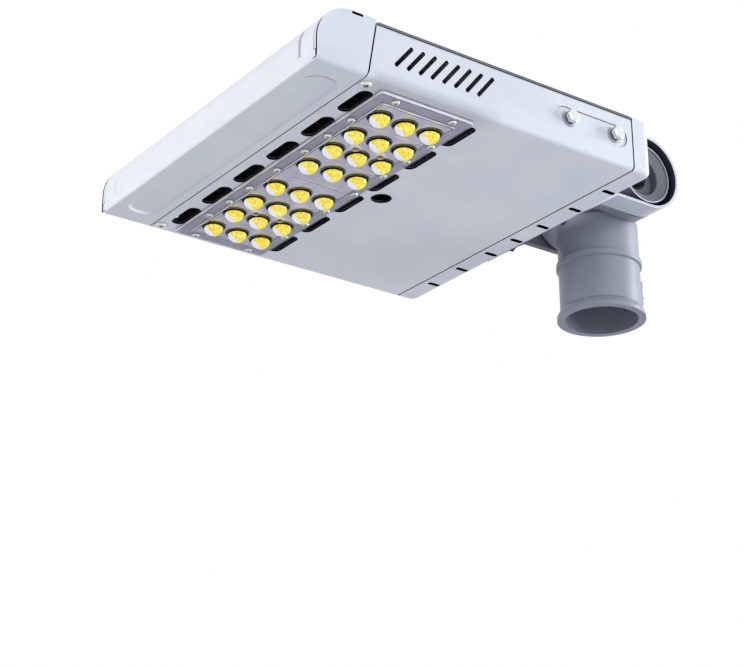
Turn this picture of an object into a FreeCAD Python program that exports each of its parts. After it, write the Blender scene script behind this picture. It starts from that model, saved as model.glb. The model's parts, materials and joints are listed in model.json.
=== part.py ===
import FreeCAD, Part
import math
import os
import Sketcher

from FreeCAD import Placement, Rotation, Vector

# A street light head on a tilting pole spigot, in millimetres.
# The origin is the centre of the socket's mouth, +X runs forward along the head, +Z is up.
SIZES = {
    # Housing, measured from its rear face and its underside
    "head_length": 328.6,
    "head_width": 320.0,
    "side_height": 46.6,
    "crown_rise": 2.7,
    "head_back": 86.5,
    "head_drop": 66.3,
    "sheet": 2.0,
    "bend_radius": 4.0,
    "top_flange": 17.0,
    "seam_gap": 1.35,
    "rear_seam": 20.9,
    "cap_length": 44.9,
    "seam_lean": 7.7,
    # Front cap and its visor
    "nose_radius": 32.0,
    "chin_radius": 1.8,
    "visor_gap": 0.5,
    "press_depth": 1.1,
    "press_slope": 52.0,
    "press_inset": 21.0,
    "press_corner": 12.0,
    "bottom_press_back": 7.3,
    "bottom_press_front": 10.0,
    "face_press_low": 9.6,
    "face_press_rise": 19.4,
    "cheek_notch_back": 4.3,
    "cheek_notch_length": 10.0,
    "cheek_notch_depth": 2.7,
    "cheek_tab_reach": 2.2,
    "cheek_tab_depth": 4.0,
    "cheek_tab_low": 8.6,
    "cheek_tab_high": 27.6,
    "cap_tab_half": 5.5,
    "cap_screw_back": 6.0,
    "cap_screw_inset": 11.3,
    "cap_screw_head": 4.6,
    "cap_screw_shank": 2.5,
    # Rear cap
    "rear_corner": 8.0,
    "rear_slot_x": 9.7,
    "rear_slot_half": 4.1,
    "rear_slot_radius": 1.6,
    "rear_slot_first": 34.9,
    "rear_slot_pitch": 41.2,
    # Cooling slots and openings in the folded shell
    "side_slot_ahead": 23.9,
    "side_slot_pitch": 11.1,
    "side_slot_top": 34.6,
    "side_slot_low": 17.0,
    "side_slot_lean": 14.2,
    "side_slot_radius": 1.7,
    "vent_half": 12.5,
    "vent_radius": 6.0,
    "vent_offset": 5.2,
    "vent_pitch": 48.9,
    "sensor_hole_back": 65.0,
    "sensor_hole_radius": 8.8,
    # Light module, measured from its middle
    "module_back": 108.6,
    "row_first": 23.4,
    "row_gap": 33.05,
    "row_close": 29.5,
    "column_pitch": 23.6,
    "field_end": 18.8,
    "field_side": 10.8,
    "field_rise": 1.5,
    "field_corner": 2.0,
    "plate_flange_end": 11.3,
    "plate_flange_side": 9.0,
    "plate_thick": 2.5,
    "plate_corner": 3.0,
    "plate_edge": 0.8,
    "plate_pocket": 1.5,
    "gasket_thick": 1.0,
    "gasket_inset": 0.5,
    "dome_radius": 9.0,
    "dome_height": 7.5,
    "dome_hollow": 6.0,
    "bump_radius": 3.9,
    "groove_width": 1.2,
    "groove_depth": 0.8,
    "groove_inset": 5.4,
    "bar_half_length": 21.0,
    "bar_half_width": 2.3,
    "bar_rise": 1.3,
    "bar_edge": 0.5,
    "board_thick": 1.6,
    "board_gap": 0.5,
    "board_margin": 2.9,
    "window_gap": 2.0,
    "emitter_gap": 0.4,
    "emitter_base": 7.4,
    "emitter_base_thick": 0.4,
    "lens_screw_inset": 5.7,
    "end_screw_out": 3.1,
    "lens_screw_head": 3.1,
    "lens_screw_rise": 1.5,
    "lens_screw_shank": 1.5,
    "lens_screw_length": 8.0,
    "screw_clearance": 0.1,
    # Heat sink
    "sink_margin": 4.4,
    "sink_base": 5.0,
    "fin_overhang": 12.6,
    "fin_inset": 9.8,
    "fin_height": 27.0,
    "fin_thick": 2.0,
    # Inner frame, tray and electrical parts
    "frame_thick": 4.0,
    "frame_margin": 4.5,
    "frame_reach": 104.0,
    "frame_corner": 9.0,
    "tray_back": 28.0,
    "tray_front": 125.0,
    "tray_lift": 6.0,
    "tray_thick": 1.5,
    "tray_end_drop": 7.5,
    "driver_back": 36.0,
    "driver_front": 90.0,
    "driver_half_y": 84.0,
    "driver_height": 30.0,
    "driver_foot": 13.0,
    "driver_foot_inset": 4.0,
    "driver_edge": 3.0,
    "foot_thick": 2.0,
    "tray_screw_head": 3.4,
    "tray_screw_shank": 2.0,
    "tray_screw_rise": 2.4,
    "blocks_x": 108.0,
    "surge_y": 58.0,
    "surge_half_x": 12.0,
    "surge_half_y": 22.0,
    "surge_height": 20.0,
    "terminal_y": -52.0,
    "terminal_half_x": 10.0,
    "terminal_half_y": 24.0,
    "terminal_height": 18.0,
    "terminal_entry": 3.0,
    "terminal_well": 2.2,
    "block_foot": 10.0,
    "block_foot_half": 5.0,
    "block_round": 1.5,
    "grommet_bore": 7.5,
    "grommet_lip": 3.0,
    "cable_hole": 11.0,
    # Side bolts
    "side_bolt_x1": 40.6,
    "side_bolt_x2": 88.6,
    "side_bolt_z": 25.4,
    "side_bolt_shank": 3.0,
    "side_bolt_flats": 10.0,
    "side_bolt_head": 4.2,
    "side_bolt_edge": 0.6,
    "side_washer_radius": 6.4,
    "side_washer_thick": 1.5,
    "side_spring_radius": 5.4,
    "side_spring_thick": 1.6,
    "side_nut_height": 5.0,
    "recess_depth": 0.8,
    "recess_radius": 9.3,
    "recess_overrun": 4.2,
    # Top cover
    "cover_edge": 0.8,
    "cover_slope": 5.5,
    "cover_skin": 1.4,
    "cover_screw_inset": 11.0,
    "cover_screw_head": 3.6,
    "cover_screw_shank": 2.0,
    # Tilting arm
    "drum_rise": 27.3,
    "drum_radius": 34.5,
    "drum_half": 47.0,
    "swing_gap": 0.2,
    "disc_thick": 1.5,
    "disc_radius": 28.5,
    "near_ear_thick": 21.7,
    "far_ear_thick": 6.0,
    "ear_rim": 2.6,
    "ear_web": 4.0,
    "arm_knee": 40.0,
    "flange_thick": 10.0,
    "flange_overhang": 7.3,
    "flange_low": 8.0,
    "flange_drop": 1.6,
    "cup_lip_radius": 27.8,
    "cup_lip_depth": 4.5,
    "cup_lip_width": 1.3,
    "cup_step_radius": 18.6,
    "cup_step_depth": 10.0,
    "arm_bolt_inset": 13.0,
    "arm_bolt_low": 16.0,
    "arm_bolt_drop": 9.6,
    "arm_bolt_shank": 4.0,
    "arm_bolt_flats": 13.0,
    "arm_bolt_head": 5.3,
    "arm_nut_height": 6.5,
    # Pivot
    "pivot_radius": 5.0,
    "pivot_fit": 0.06,
    "pivot_head_radius": 8.8,
    "pivot_head_rim": 1.6,
    "pivot_head": 5.5,
    "pivot_head_top": 5.6,
    "pivot_socket": 6.0,
    "pivot_socket_depth": 3.5,
    "pivot_nut_flats": 16.0,
    "pivot_nut_height": 8.0,
    "pivot_washer_radius": 10.0,
    "pivot_washer_thick": 2.0,
    # Spigot
    "bore_radius": 32.6,
    "bore_depth": 77.0,
    "sleeve_wall": 3.6,
    "sleeve_roof": 14.0,
    "shoulder": 2.5,
    "bead_rise": 1.9,
    "bead_low": 47.7,
    "bead_width": 6.9,
    "bead_slope": 1.0,
    "rim_rise": 3.1,
    "rim_height": 3.6,
    "flare_top": 8.6,
    "crease": 0.4,
    "wire_bore": 11.0,
    "wire_window": 8.0,
    "boss_half_y": 11.0,
    "boss_rise": 5.8,
    "boss_low": 12.0,
    "boss_high": 44.0,
    "pole_screw_inset": 8.0,
    "pole_screw_shank": 4.0,
    "pole_screw_flats": 13.0,
    "pole_screw_head": 5.3,
    "pole_screw_stand": 2.0,
    "pole_screw_backed_off": 0.4,
}
FIN_COUNT = 24
SIDE_SLOTS = 8
TERMINAL_WAYS = 3
THREAD_GAP = 0.03
VISOR_SEAT = 0.05
GROMMET_SEAT = 0.1
OVERCUT = 5
HEAD_CHAMFER = 1.8
VENTS = 6
REAR_SLOTS_A_SIDE = 3
COVER_SCREWS_A_SIDE = 3

doc = FreeCAD.newDocument("street_light_head")
sheet = doc.addObject("Spreadsheet::Sheet", "Sizes")
for row, (word, number) in enumerate(SIZES.items(), 1):
    sheet.set(f"A{row}", word)
    sheet.set(f"B{row}", str(number))
    sheet.setAlias(f"B{row}", word)
doc.recompute()


class Size:
    """A number together with the sheet expression that gives it."""

    def __init__(self, value, text):
        self.value = float(value)
        self.text = text

    def __add__(self, other):
        other = as_size(other)
        return Size(self.value + other.value, f"({self.text} + {other.text})")

    def __sub__(self, other):
        other = as_size(other)
        return Size(self.value - other.value, f"({self.text} - {other.text})")

    def __mul__(self, other):
        other = as_size(other)
        return Size(self.value * other.value, f"({self.text} * {other.text})")

    def __truediv__(self, other):
        other = as_size(other)
        return Size(self.value / other.value, f"({self.text} / {other.text})")

    def __radd__(self, other):
        return as_size(other) + self

    def __rsub__(self, other):
        return as_size(other) - self

    def __rmul__(self, other):
        return as_size(other) * self

    def __neg__(self):
        return as_size(0) - self

    def root(self):
        return Size(math.sqrt(self.value), f"sqrt({self.text})")


def as_size(number):
    if isinstance(number, Size):
        return number
    return Size(number, f"({number:.9g})")


class Sheet:
    """Gives each cell of the sheet by its alias."""

    def __getattr__(self, word):
        return Size(sheet.get(word), f"Sizes.{word}")


s = Sheet()


sleeve_radius = s.bore_radius + s.sleeve_wall
sleeve_top = s.bore_depth + s.sleeve_roof
boss_reach = sleeve_radius + s.boss_rise
axis = sleeve_top + s.drum_rise
head_bottom = axis - s.head_drop
crown_height = s.side_height + s.crown_rise
front_seam = s.head_length - s.cap_length


def head_x(distance):
    """A distance forward of the head's rear face."""
    return s.head_back + distance


def head_z(distance):
    """A height above the head's underside."""
    return head_bottom + distance


half_width = s.head_width / 2
inner_half = half_width - s.sheet
module_x = head_x(s.head_length - s.module_back)
ear_inside = s.drum_half + s.swing_gap + s.disc_thick
near_ear_face = ear_inside + s.near_ear_thick
far_ear_face = -(ear_inside + s.far_ear_thick)
flange_high = head_z(s.side_height - s.flange_drop)

row_2 = s.row_first + s.row_gap
row_3 = row_2 + s.row_close
row_4 = row_3 + s.row_gap
rows = [sign * row for row in (s.row_first, row_2, row_3, row_4) for sign in (1, -1)]
columns = [-s.column_pitch, as_size(0), s.column_pitch]
field_half_x = s.column_pitch + s.field_side
field_half_y = row_4 + s.field_end
plate_half_x = field_half_x + s.plate_flange_side
plate_half_y = field_half_y + s.plate_flange_end
board_half_x = field_half_x - s.board_margin
board_half_y = field_half_y - s.board_margin
lens_screw_x = plate_half_x - s.lens_screw_inset
end_screw_y = plate_half_y - s.lens_screw_inset
sink_half_y = end_screw_y + s.sink_margin

gasket_low = head_z(-s.gasket_thick)
plate_low = gasket_low - s.plate_thick
field_low = plate_low - s.field_rise
pocket_floor = gasket_low - s.plate_pocket
board_low = pocket_floor + s.board_gap
dome_ball = (s.dome_radius * s.dome_radius + s.dome_height * s.dome_height) / (s.dome_height * 2)
dome_centre = field_low - s.dome_height + dome_ball
sink_low = head_z(s.sheet)
tray_low = head_z(s.tray_lift)
tray_top = tray_low + s.tray_thick
frame_inner = inner_half - s.frame_thick
web_front = head_x(s.sheet + s.frame_thick)
cable_z = head_z((s.arm_bolt_low + s.side_height - s.arm_bolt_drop) / 2)


def bind(thing, field, size):
    thing.setExpression(field, as_size(size).text)


# Sketches and features of a body


def origin_plane(body, role):
    return next(o for o in body.Origin.OriginFeatures if o.Role == role)


class Drawing:
    """A sketch on an origin plane whose points and radii all follow the sheet."""

    def __init__(self, body, name, plane, level=0):
        self.sketch = body.newObject("Sketcher::SketchObject", name)
        self.sketch.AttachmentSupport = [(origin_plane(body, plane), "")]
        self.sketch.MapMode = "FlatFace"
        bind(self.sketch, "AttachmentOffset.Base.z", level)

    def hold(self, kind, place, size):
        size = as_size(size)
        index = self.sketch.addConstraint(Sketcher.Constraint(kind, *place, size.value))
        bind(self.sketch, f"Constraints[{index}]", size)

    def pin(self, edge, end, x, y):
        self.hold("DistanceX", (edge, end), x)
        self.hold("DistanceY", (edge, end), y)

    def polygon(self, points):
        points = [(as_size(x), as_size(y)) for x, y in points]
        spots = [Vector(x.value, y.value, 0) for x, y in points]
        lines = []
        for start, end in zip(spots, spots[1:] + spots[:1]):
            lines.append(self.sketch.addGeometry(Part.LineSegment(start, end)))
        for before, line in zip(lines[-1:] + lines[:-1], lines):
            self.sketch.addConstraint(Sketcher.Constraint("Coincident", before, 2, line, 1))
        for line, (x, y) in zip(lines, points):
            self.pin(line, 1, x, y)
        return self

    def rectangle(self, x0, x1, y0, y1):
        return self.polygon([(x0, y0), (x1, y0), (x1, y1), (x0, y1)])

    def circle(self, x, y, radius):
        x, y, radius = as_size(x), as_size(y), as_size(radius)
        shape = Part.Circle(Vector(x.value, y.value, 0), Vector(0, 0, 1), radius.value)
        ring = self.sketch.addGeometry(shape)
        self.pin(ring, 3, x, y)
        self.hold("Radius", (ring,), radius)
        return self

    def slot(self, x0, y0, x1, y1, radius):
        x0, y0, x1, y1, radius = (as_size(v) for v in (x0, y0, x1, y1, radius))
        turn = math.atan2(y1.value - y0.value, x1.value - x0.value)
        near = Vector(x0.value, y0.value, 0)
        far = Vector(x1.value, y1.value, 0)
        out = Vector(-math.sin(turn), math.cos(turn), 0) * radius.value
        quarter = math.pi / 2
        up = Vector(0, 0, 1)
        add = self.sketch.addGeometry
        low = add(Part.LineSegment(near - out, far - out))
        tip = add(Part.ArcOfCircle(Part.Circle(far, up, radius.value), turn - quarter, turn + quarter))
        high = add(Part.LineSegment(far + out, near + out))
        tail = add(Part.ArcOfCircle(Part.Circle(near, up, radius.value), turn + quarter, turn + 3 * quarter))
        joints = [(low, tip), (tip, high), (high, tail), (tail, low)]
        self.sketch.addConstraint([Sketcher.Constraint("Tangent", a, 2, b, 1) for a, b in joints])
        self.sketch.addConstraint(Sketcher.Constraint("Equal", tail, tip))
        self.pin(tail, 3, x0, y0)
        self.pin(tip, 3, x1, y1)
        self.hold("Radius", (tail,), radius)
        return self

    def rounded(self, x0, x1, y0, y1, radius):
        """A rectangle with rounded corners, drawn as four lines and four tangent arcs."""
        x0, x1, y0, y1, radius = (as_size(v) for v in (x0, x1, y0, y1, radius))
        middles = [(x1 - radius, y0 + radius), (x1 - radius, y1 - radius),
                   (x0 + radius, y1 - radius), (x0 + radius, y0 + radius)]
        corners, sides = [], []
        for turn, (x, y) in enumerate(middles):
            start = math.pi / 2 * (turn - 1)
            ring = Part.Circle(Vector(x.value, y.value, 0), Vector(0, 0, 1), radius.value)
            corners.append(self.sketch.addGeometry(Part.ArcOfCircle(ring, start, start + math.pi / 2)))
        for corner, after in zip(corners, corners[1:] + corners[:1]):
            start = self.sketch.getPoint(corner, 2)
            end = self.sketch.getPoint(after, 1)
            sides.append(self.sketch.addGeometry(Part.LineSegment(start, end)))
        for corner, side, after in zip(corners, sides, corners[1:] + corners[:1]):
            self.sketch.addConstraint(Sketcher.Constraint("Tangent", corner, 2, side, 1))
            self.sketch.addConstraint(Sketcher.Constraint("Tangent", side, 2, after, 1))
        for corner, (x, y) in zip(corners, middles):
            self.pin(corner, 3, x, y)
        for corner in corners[1:]:
            self.sketch.addConstraint(Sketcher.Constraint("Equal", corners[0], corner))
        self.hold("Radius", (corners[0],), radius)
        return self

    def profile(self, items):
        """A closed outline of sharp corners (x, y) and of tangent arcs (x, y, radius, start, end)."""
        ends, arcs = [], []
        for item in items:
            x, y = as_size(item[0]), as_size(item[1])
            spot = Vector(x.value, y.value, 0)
            if len(item) == 2:
                ends.append((spot, spot))
                arcs.append(None)
                continue
            radius, start, end = item[2:]
            ring = Part.Circle(spot, Vector(0, 0, 1), radius.value)
            low, high = math.radians(min(start, end)), math.radians(max(start, end))
            arc = self.sketch.addGeometry(Part.ArcOfCircle(ring, low, high))
            self.pin(arc, 3, x, y)
            self.hold("Radius", (arc,), radius)
            entry, leave = (1, 2) if start < end else (2, 1)
            ends.append((self.sketch.getPoint(arc, entry), self.sketch.getPoint(arc, leave)))
            arcs.append((arc, entry, leave))
        lines = []
        for (_, start), (end, _) in zip(ends, ends[1:] + ends[:1]):
            lines.append(self.sketch.addGeometry(Part.LineSegment(start, end)))
        for before, line, arc, item in zip(lines[-1:] + lines[:-1], lines, arcs, items):
            if arc is None:
                self.sketch.addConstraint(Sketcher.Constraint("Coincident", before, 2, line, 1))
                self.pin(line, 1, item[0], item[1])
                continue
            edge, entry, leave = arc
            self.sketch.addConstraint(Sketcher.Constraint("Tangent", before, 2, edge, entry))
            self.sketch.addConstraint(Sketcher.Constraint("Tangent", edge, leave, line, 1))
        return self

    def axle(self, x0, x1, y):
        """A construction line to turn a profile about."""
        x0, x1, y = as_size(x0), as_size(x1), as_size(y)
        line = Part.LineSegment(Vector(x0.value, y.value, 0), Vector(x1.value, y.value, 0))
        edge = self.sketch.addGeometry(line, True)
        self.pin(edge, 1, x0, y)
        self.pin(edge, 2, x1, y)
        return self


def new_body(name):
    body = doc.addObject("PartDesign::Body", name)
    body.Label = name
    return body


def feature(body, kind, name, drawing, length=None):
    """A pad or a pocket to both sides of its sketch, through all where no length is given."""
    made = body.newObject(f"PartDesign::{kind}", name)
    made.Profile = drawing.sketch
    made.Midplane = True
    if length is None:
        made.Type = "ThroughAll"
    else:
        bind(made, "Length", length)
    drawing.sketch.Visibility = False
    return made


def pad(body, name, drawing, length):
    return feature(body, "Pad", name, drawing, length)


def pocket(body, name, drawing, length=None):
    return feature(body, "Pocket", name, drawing, length)


def pressed(body, name, drawing, depth):
    """A shallow one-sided pocket with sloping sides, as a press tool leaves in sheet."""
    made = body.newObject("PartDesign::Pocket", name)
    made.Profile = drawing.sketch
    made.Reversed = True
    bind(made, "Length", depth)
    bind(made, "TaperAngle", -s.press_slope)
    drawing.sketch.Visibility = False
    return made


def pressed_back(body, name, drawing, depth):
    """The same from a face that looks forward."""
    made = pressed(body, name, drawing, depth)
    made.Reversed = False
    return made


def turned(body, kind, name, drawing, about):
    made = body.newObject(f"PartDesign::{kind}", name)
    made.Profile = drawing.sketch
    made.ReferenceAxis = (drawing.sketch, [about])
    made.Angle = 360
    return made


def row_pattern(body, name, original, along, pitch, count):
    made = body.newObject("PartDesign::LinearPattern", name)
    made.Originals = [original]
    made.Direction = (original.Profile[0], [along])
    made.Occurrences = count
    bind(made, "Length", pitch * (count - 1))
    body.Tip = made
    return made


def edges_near(shape, along, spots):
    """Names of the straight edges along one axis that pass through any of the spots."""
    found = []
    for number, edge in enumerate(shape.Edges, 1):
        if len(edge.Vertexes) != 2 or edge.Curve.TypeId != "Part::GeomLine":
            continue
        run = edge.Vertexes[1].Point - edge.Vertexes[0].Point
        if abs(run.dot(along)) < 0.999 * run.Length:
            continue
        for spot in spots:
            off = edge.Vertexes[0].Point - spot
            across = off - along * off.dot(along)
            if across.Length < 0.02:
                found.append(f"Edge{number}")
                break
    return found


def round_edges(body, name, base, along, spots, radius):
    doc.recompute()
    points = [Vector(*[as_size(v).value for v in spot]) for spot in spots]
    made = body.newObject("PartDesign::Fillet", name)
    made.Base = (base, edges_near(base.Shape, along, points))
    bind(made, "Radius", radius)
    return made


def round_rim(body, name, base, level, radius, open_x=None):
    """Rounds the outer edges of the flat face at a height, save those at an open end."""
    doc.recompute()
    level = as_size(level).value
    rims = []
    for face in base.Shape.Faces:
        if abs(face.BoundBox.ZMin - level) < 0.01 and abs(face.BoundBox.ZMax - level) < 0.01:
            rims += face.OuterWire.Edges
    if open_x is not None:
        end = as_size(open_x).value
        rims = [rim for rim in rims if abs(rim.BoundBox.XMin - end) > 0.01]
    made = body.newObject("PartDesign::Fillet", name)
    edges = enumerate(base.Shape.Edges, 1)
    made.Base = (base, [f"Edge{n}" for n, edge in edges if any(edge.isSame(rim) for rim in rims)])
    bind(made, "Radius", radius)
    return made


ALONG_X = Vector(1, 0, 0)
ALONG_Y = Vector(0, 1, 0)
ALONG_Z = Vector(0, 0, 1)


# Primitives and booleans

TURNS = {
    "X": Rotation(Vector(0, 1, 0), 90),
    "Y": Rotation(Vector(1, 0, 0), -90),
    "Z": Rotation(),
    "-Z": Rotation(Vector(1, 0, 0), 180),
    "-Y": Rotation(Vector(1, 0, 0), 90),
    "-X": Rotation(Vector(0, 1, 0), -90),
}


def place(thing, x, y, z, facing="Z"):
    thing.Placement = Placement(Vector(0, 0, 0), TURNS[facing])
    bind(thing, "Placement.Base.x", x)
    bind(thing, "Placement.Base.y", y)
    bind(thing, "Placement.Base.z", z)
    return thing


def block(name, x0, x1, y0, y1, z0, z1):
    made = doc.addObject("Part::Box", name)
    bind(made, "Length", as_size(x1) - x0)
    bind(made, "Width", as_size(y1) - y0)
    bind(made, "Height", as_size(z1) - z0)
    return place(made, x0, y0, z0)


def rod(name, radius, length, x, y, z, facing):
    made = doc.addObject("Part::Cylinder", name)
    bind(made, "Radius", radius)
    bind(made, "Height", length)
    return place(made, x, y, z, facing)


def hex_bar(name, flats, length, x, y, z, facing):
    made = doc.addObject("Part::Prism", name)
    made.Polygon = 6
    bind(made, "Circumradius", as_size(flats) / math.sqrt(3))
    bind(made, "Height", length)
    return place(made, x, y, z, facing)


def taper(name, wide, narrow, length, x, y, z, facing):
    made = doc.addObject("Part::Cone", name)
    bind(made, "Radius1", wide)
    bind(made, "Radius2", narrow)
    bind(made, "Height", length)
    return place(made, x, y, z, facing)


def join(name, pieces):
    made = doc.addObject("Part::MultiFuse", name)
    made.Shapes = pieces
    made.Refine = True
    return made


def group(name, pieces):
    made = doc.addObject("Part::Compound", name)
    made.Label = name
    made.Links = pieces
    return made


def drilled(name, solid, tools):
    made = doc.addObject("Part::Cut", name)
    made.Label = name
    made.Base = solid
    made.Tool = tools[0] if len(tools) == 1 else join(f"{name}_tools", tools)
    return made


def soften(name, solid, along, spots, radius):
    """Rounds the straight edges of a primitive that run along an axis through the spots."""
    doc.recompute()
    points = [Vector(*[as_size(v).value for v in spot]) for spot in spots]
    made = doc.addObject("Part::Fillet", name)
    made.Base = solid
    size = as_size(radius).value
    picked = edges_near(solid.Shape, along, points)
    made.Edges = [(int(edge[4:]), size, size) for edge in picked]
    return made


# Where the fasteners go


def lens_screw_spots():
    """The screws of the lens plate: between the rows along both edges, two at each end."""
    between = [as_size(0)]
    for low, high in ((s.row_first, row_2), (row_2, row_3), (row_3, row_4)):
        middle = (low + high) / 2
        between += [middle, -middle]
    spots = [(module_x + side * lens_screw_x, y) for y in between for side in (1, -1)]
    end_x = s.column_pitch + s.end_screw_out
    for side in (1, -1):
        for end in (1, -1):
            spots.append((module_x + side * end_x, end * end_screw_y))
    return spots


def side_bolt_spots():
    return [(head_x(x), head_z(s.side_bolt_z)) for x in (s.side_bolt_x1, s.side_bolt_x2)]


def arm_bolt_spots():
    heights = (head_z(s.arm_bolt_low), head_z(s.side_height - s.arm_bolt_drop))
    return [(side * (s.drum_half - s.arm_bolt_inset), z) for side in (1, -1) for z in heights]


def cap_screw_spots():
    x = head_x(front_seam - s.cap_screw_back)
    return [(x, side * (half_width - s.cap_screw_inset)) for side in (1, -1)]


def cover_screw_spots():
    first = head_x(s.rear_seam) + s.cover_screw_inset * 2
    last = head_x(front_seam - s.seam_lean) - s.cover_screw_inset * 2
    step = (last - first) / (COVER_SCREWS_A_SIDE - 1)
    inset = half_width - s.cover_screw_inset
    return [(first + step * n, side * inset) for n in range(COVER_SCREWS_A_SIDE) for side in (1, -1)]


def tray_screw_spots():
    """Four in the driver's feet and one in the foot of each smaller block."""
    spots = []
    for end in (1, -1):
        for x in (s.driver_back + s.driver_foot, s.driver_front - s.driver_foot):
            spots.append((head_x(x), end * (s.driver_half_y + s.driver_foot / 2)))
    spots.append((head_x(s.blocks_x), s.surge_y + s.surge_half_y + s.block_foot / 2))
    spots.append((head_x(s.blocks_x), s.terminal_y - s.terminal_half_y - s.block_foot / 2))
    return spots


def shell_holes(prefix, radius, z, depth):
    """Round tools for the lens screws, from below."""
    spots = enumerate(lens_screw_spots())
    return [rod(f"{prefix}_{n}", radius, depth, x, y, z, "Z") for n, (x, y) in spots]


# Housing


def front_lean_line(height):
    """Where the leaning front seam of the side walls stands at a height above the underside."""
    return head_x(front_seam) - s.seam_lean * (height / s.side_height)


def main_shell():
    """The folded sheet: underside, both sides and the flanges that carry the cover."""
    body = new_body("main_shell_sheet")
    start = head_x(s.rear_seam) + s.seam_gap / 2
    end = head_x(front_seam) - s.seam_gap / 2
    low, high = head_z(0), head_z(s.side_height)
    inner = inner_half
    lip = half_width - s.top_flange
    right = [(half_width, low), (half_width, high), (lip, high), (lip, high - s.sheet),
             (inner, high - s.sheet), (inner, low + s.sheet)]
    left = [(-y, z) for y, z in reversed(right)]
    fold = Drawing(body, "fold", "YZ_Plane", (start + end) / 2).polygon(right + left)
    base = pad(body, "folded_sheet", fold, end - start)
    outer = [(start, side * half_width, z) for side in (1, -1) for z in (low, high)]
    base = round_edges(body, "outer_bends", base, ALONG_X, outer, s.bend_radius)
    corners = [(start, side * inner, z) for side in (1, -1) for z in (low + s.sheet, high - s.sheet)]
    base = round_edges(body, "inner_bends", base, ALONG_X, corners, s.bend_radius - s.sheet)

    shift = s.seam_gap / 2
    lean = Drawing(body, "lean", "XZ_Plane")
    lean.polygon([(front_lean_line(s.sheet) - shift, low + s.sheet), (end + OVERCUT, low + s.sheet),
                  (end + OVERCUT, high + 1), (front_lean_line(s.side_height + 1) - shift, high + 1)])
    pocket(body, "leaning_front", lean)

    window = Drawing(body, "window", "XY_Plane", low)
    half_x, half_y = board_half_x + s.window_gap, board_half_y + s.window_gap
    window.rectangle(module_x - half_x, module_x + half_x, -half_y, half_y)
    window.circle(module_x - s.sensor_hole_back, 0, s.sensor_hole_radius)
    for x, y in cap_screw_spots():
        window.circle(x, y, s.cap_screw_shank + s.screw_clearance)
    pocket(body, "bottom_openings", window, s.sheet * 4)

    vents = Drawing(body, "vents", "XY_Plane", low)
    first = s.vent_pitch * ((1 - VENTS) / 2)
    for side in (1, -1):
        x = module_x + side * (plate_half_x + s.vent_offset)
        vents.slot(x, first - s.vent_half, x, first + s.vent_half, s.vent_radius)
    vent = pocket(body, "first_vents", vents, s.sheet * 4)
    row_pattern(body, "vent_row", vent, "V_Axis", s.vent_pitch, VENTS)

    slots = Drawing(body, "side_slots", "XZ_Plane")
    last = module_x + s.side_slot_ahead - s.side_slot_pitch * (SIDE_SLOTS - 1)
    slots.slot(last, head_z(s.side_slot_top), last + s.side_slot_lean, head_z(s.side_slot_low),
               s.side_slot_radius)
    slot = pocket(body, "first_side_slot", slots)
    row_pattern(body, "side_slot_row", slot, "H_Axis", s.side_slot_pitch, SIDE_SLOTS)

    z = head_z(s.side_bolt_z)
    near, far = head_x(s.side_bolt_x1) - s.recess_overrun, head_x(s.side_bolt_x2) + s.recess_overrun
    for side, name in ((1, "left"), (-1, "right")):
        press = Drawing(body, f"{name}_press", "XZ_Plane", -side * half_width)
        press.slot(near, z, far, z, s.recess_radius)
        pocket(body, f"{name}_recess", press, s.recess_depth * 2)
    holes = Drawing(body, "bolt_holes", "XZ_Plane")
    for x, z in side_bolt_spots():
        holes.circle(x, z, s.side_bolt_shank + s.screw_clearance)
    body.Tip = pocket(body, "bolt_clearance", holes)

    hole = s.lens_screw_shank + s.screw_clearance
    tools = shell_holes("shell_hole", hole, low - 1, s.sheet + 2)
    top = high - s.sheet - 1
    for n, (x, y) in enumerate(cover_screw_spots()):
        tools.append(rod(f"shell_cover_hole_{n}", s.cover_screw_shank + s.screw_clearance,
                         s.sheet + 2, x, y, top, "Z"))
    drilled("main_shell", body, tools)


def top_cover():
    """The lid: a folded crown whose edges rest on the shell's flanges."""
    body = new_body("top_cover_sheet")
    start = head_x(s.rear_seam) + s.seam_gap / 2
    end = front_lean_line(crown_height) - s.seam_gap
    low = head_z(s.side_height)
    crown = head_z(crown_height)
    rest = half_width - s.top_flange
    right = [(half_width, low), (half_width, low + s.cover_edge), (half_width - s.cover_slope, crown)]
    left = [(-y, z) for y, z in reversed(right)]
    hollow = [(-rest, low), (-rest, crown - s.cover_skin), (rest, crown - s.cover_skin), (rest, low)]
    crease = Drawing(body, "crown", "YZ_Plane", (start + end) / 2).polygon(right + left + hollow)
    body.Tip = pad(body, "crowned_sheet", crease, end - start)
    radius = s.cover_screw_shank + s.screw_clearance
    tools = []
    for n, (x, y) in enumerate(cover_screw_spots()):
        tools.append(rod(f"cover_hole_{n}", radius, crown - low + 2, x, y, low - 1, "Z"))
    drilled("top_cover", body, tools)


def pan_screw(name, head, rise, shank, length, x, y, z, facing):
    """A low domed head whose seat is at the given point, with its shank behind it."""
    back = {"-Z": "Z", "Z": "-Z"}[facing]
    cap = taper(f"{name}_head", head, head * 0.72, rise, x, y, z, facing)
    return join(name, [cap, rod(f"{name}_shank", shank, length, x, y, z, back)])


def cover_screws():
    crown = head_z(crown_height)
    reach = crown - head_z(s.side_height) + s.sheet + 2
    screws = []
    for n, (x, y) in enumerate(cover_screw_spots()):
        screws.append(pan_screw(f"cover_screw_{n}", s.cover_screw_head, 2.2, s.cover_screw_shank,
                                reach, x, y, crown, "Z"))
    group("cover_screws", screws)


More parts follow.
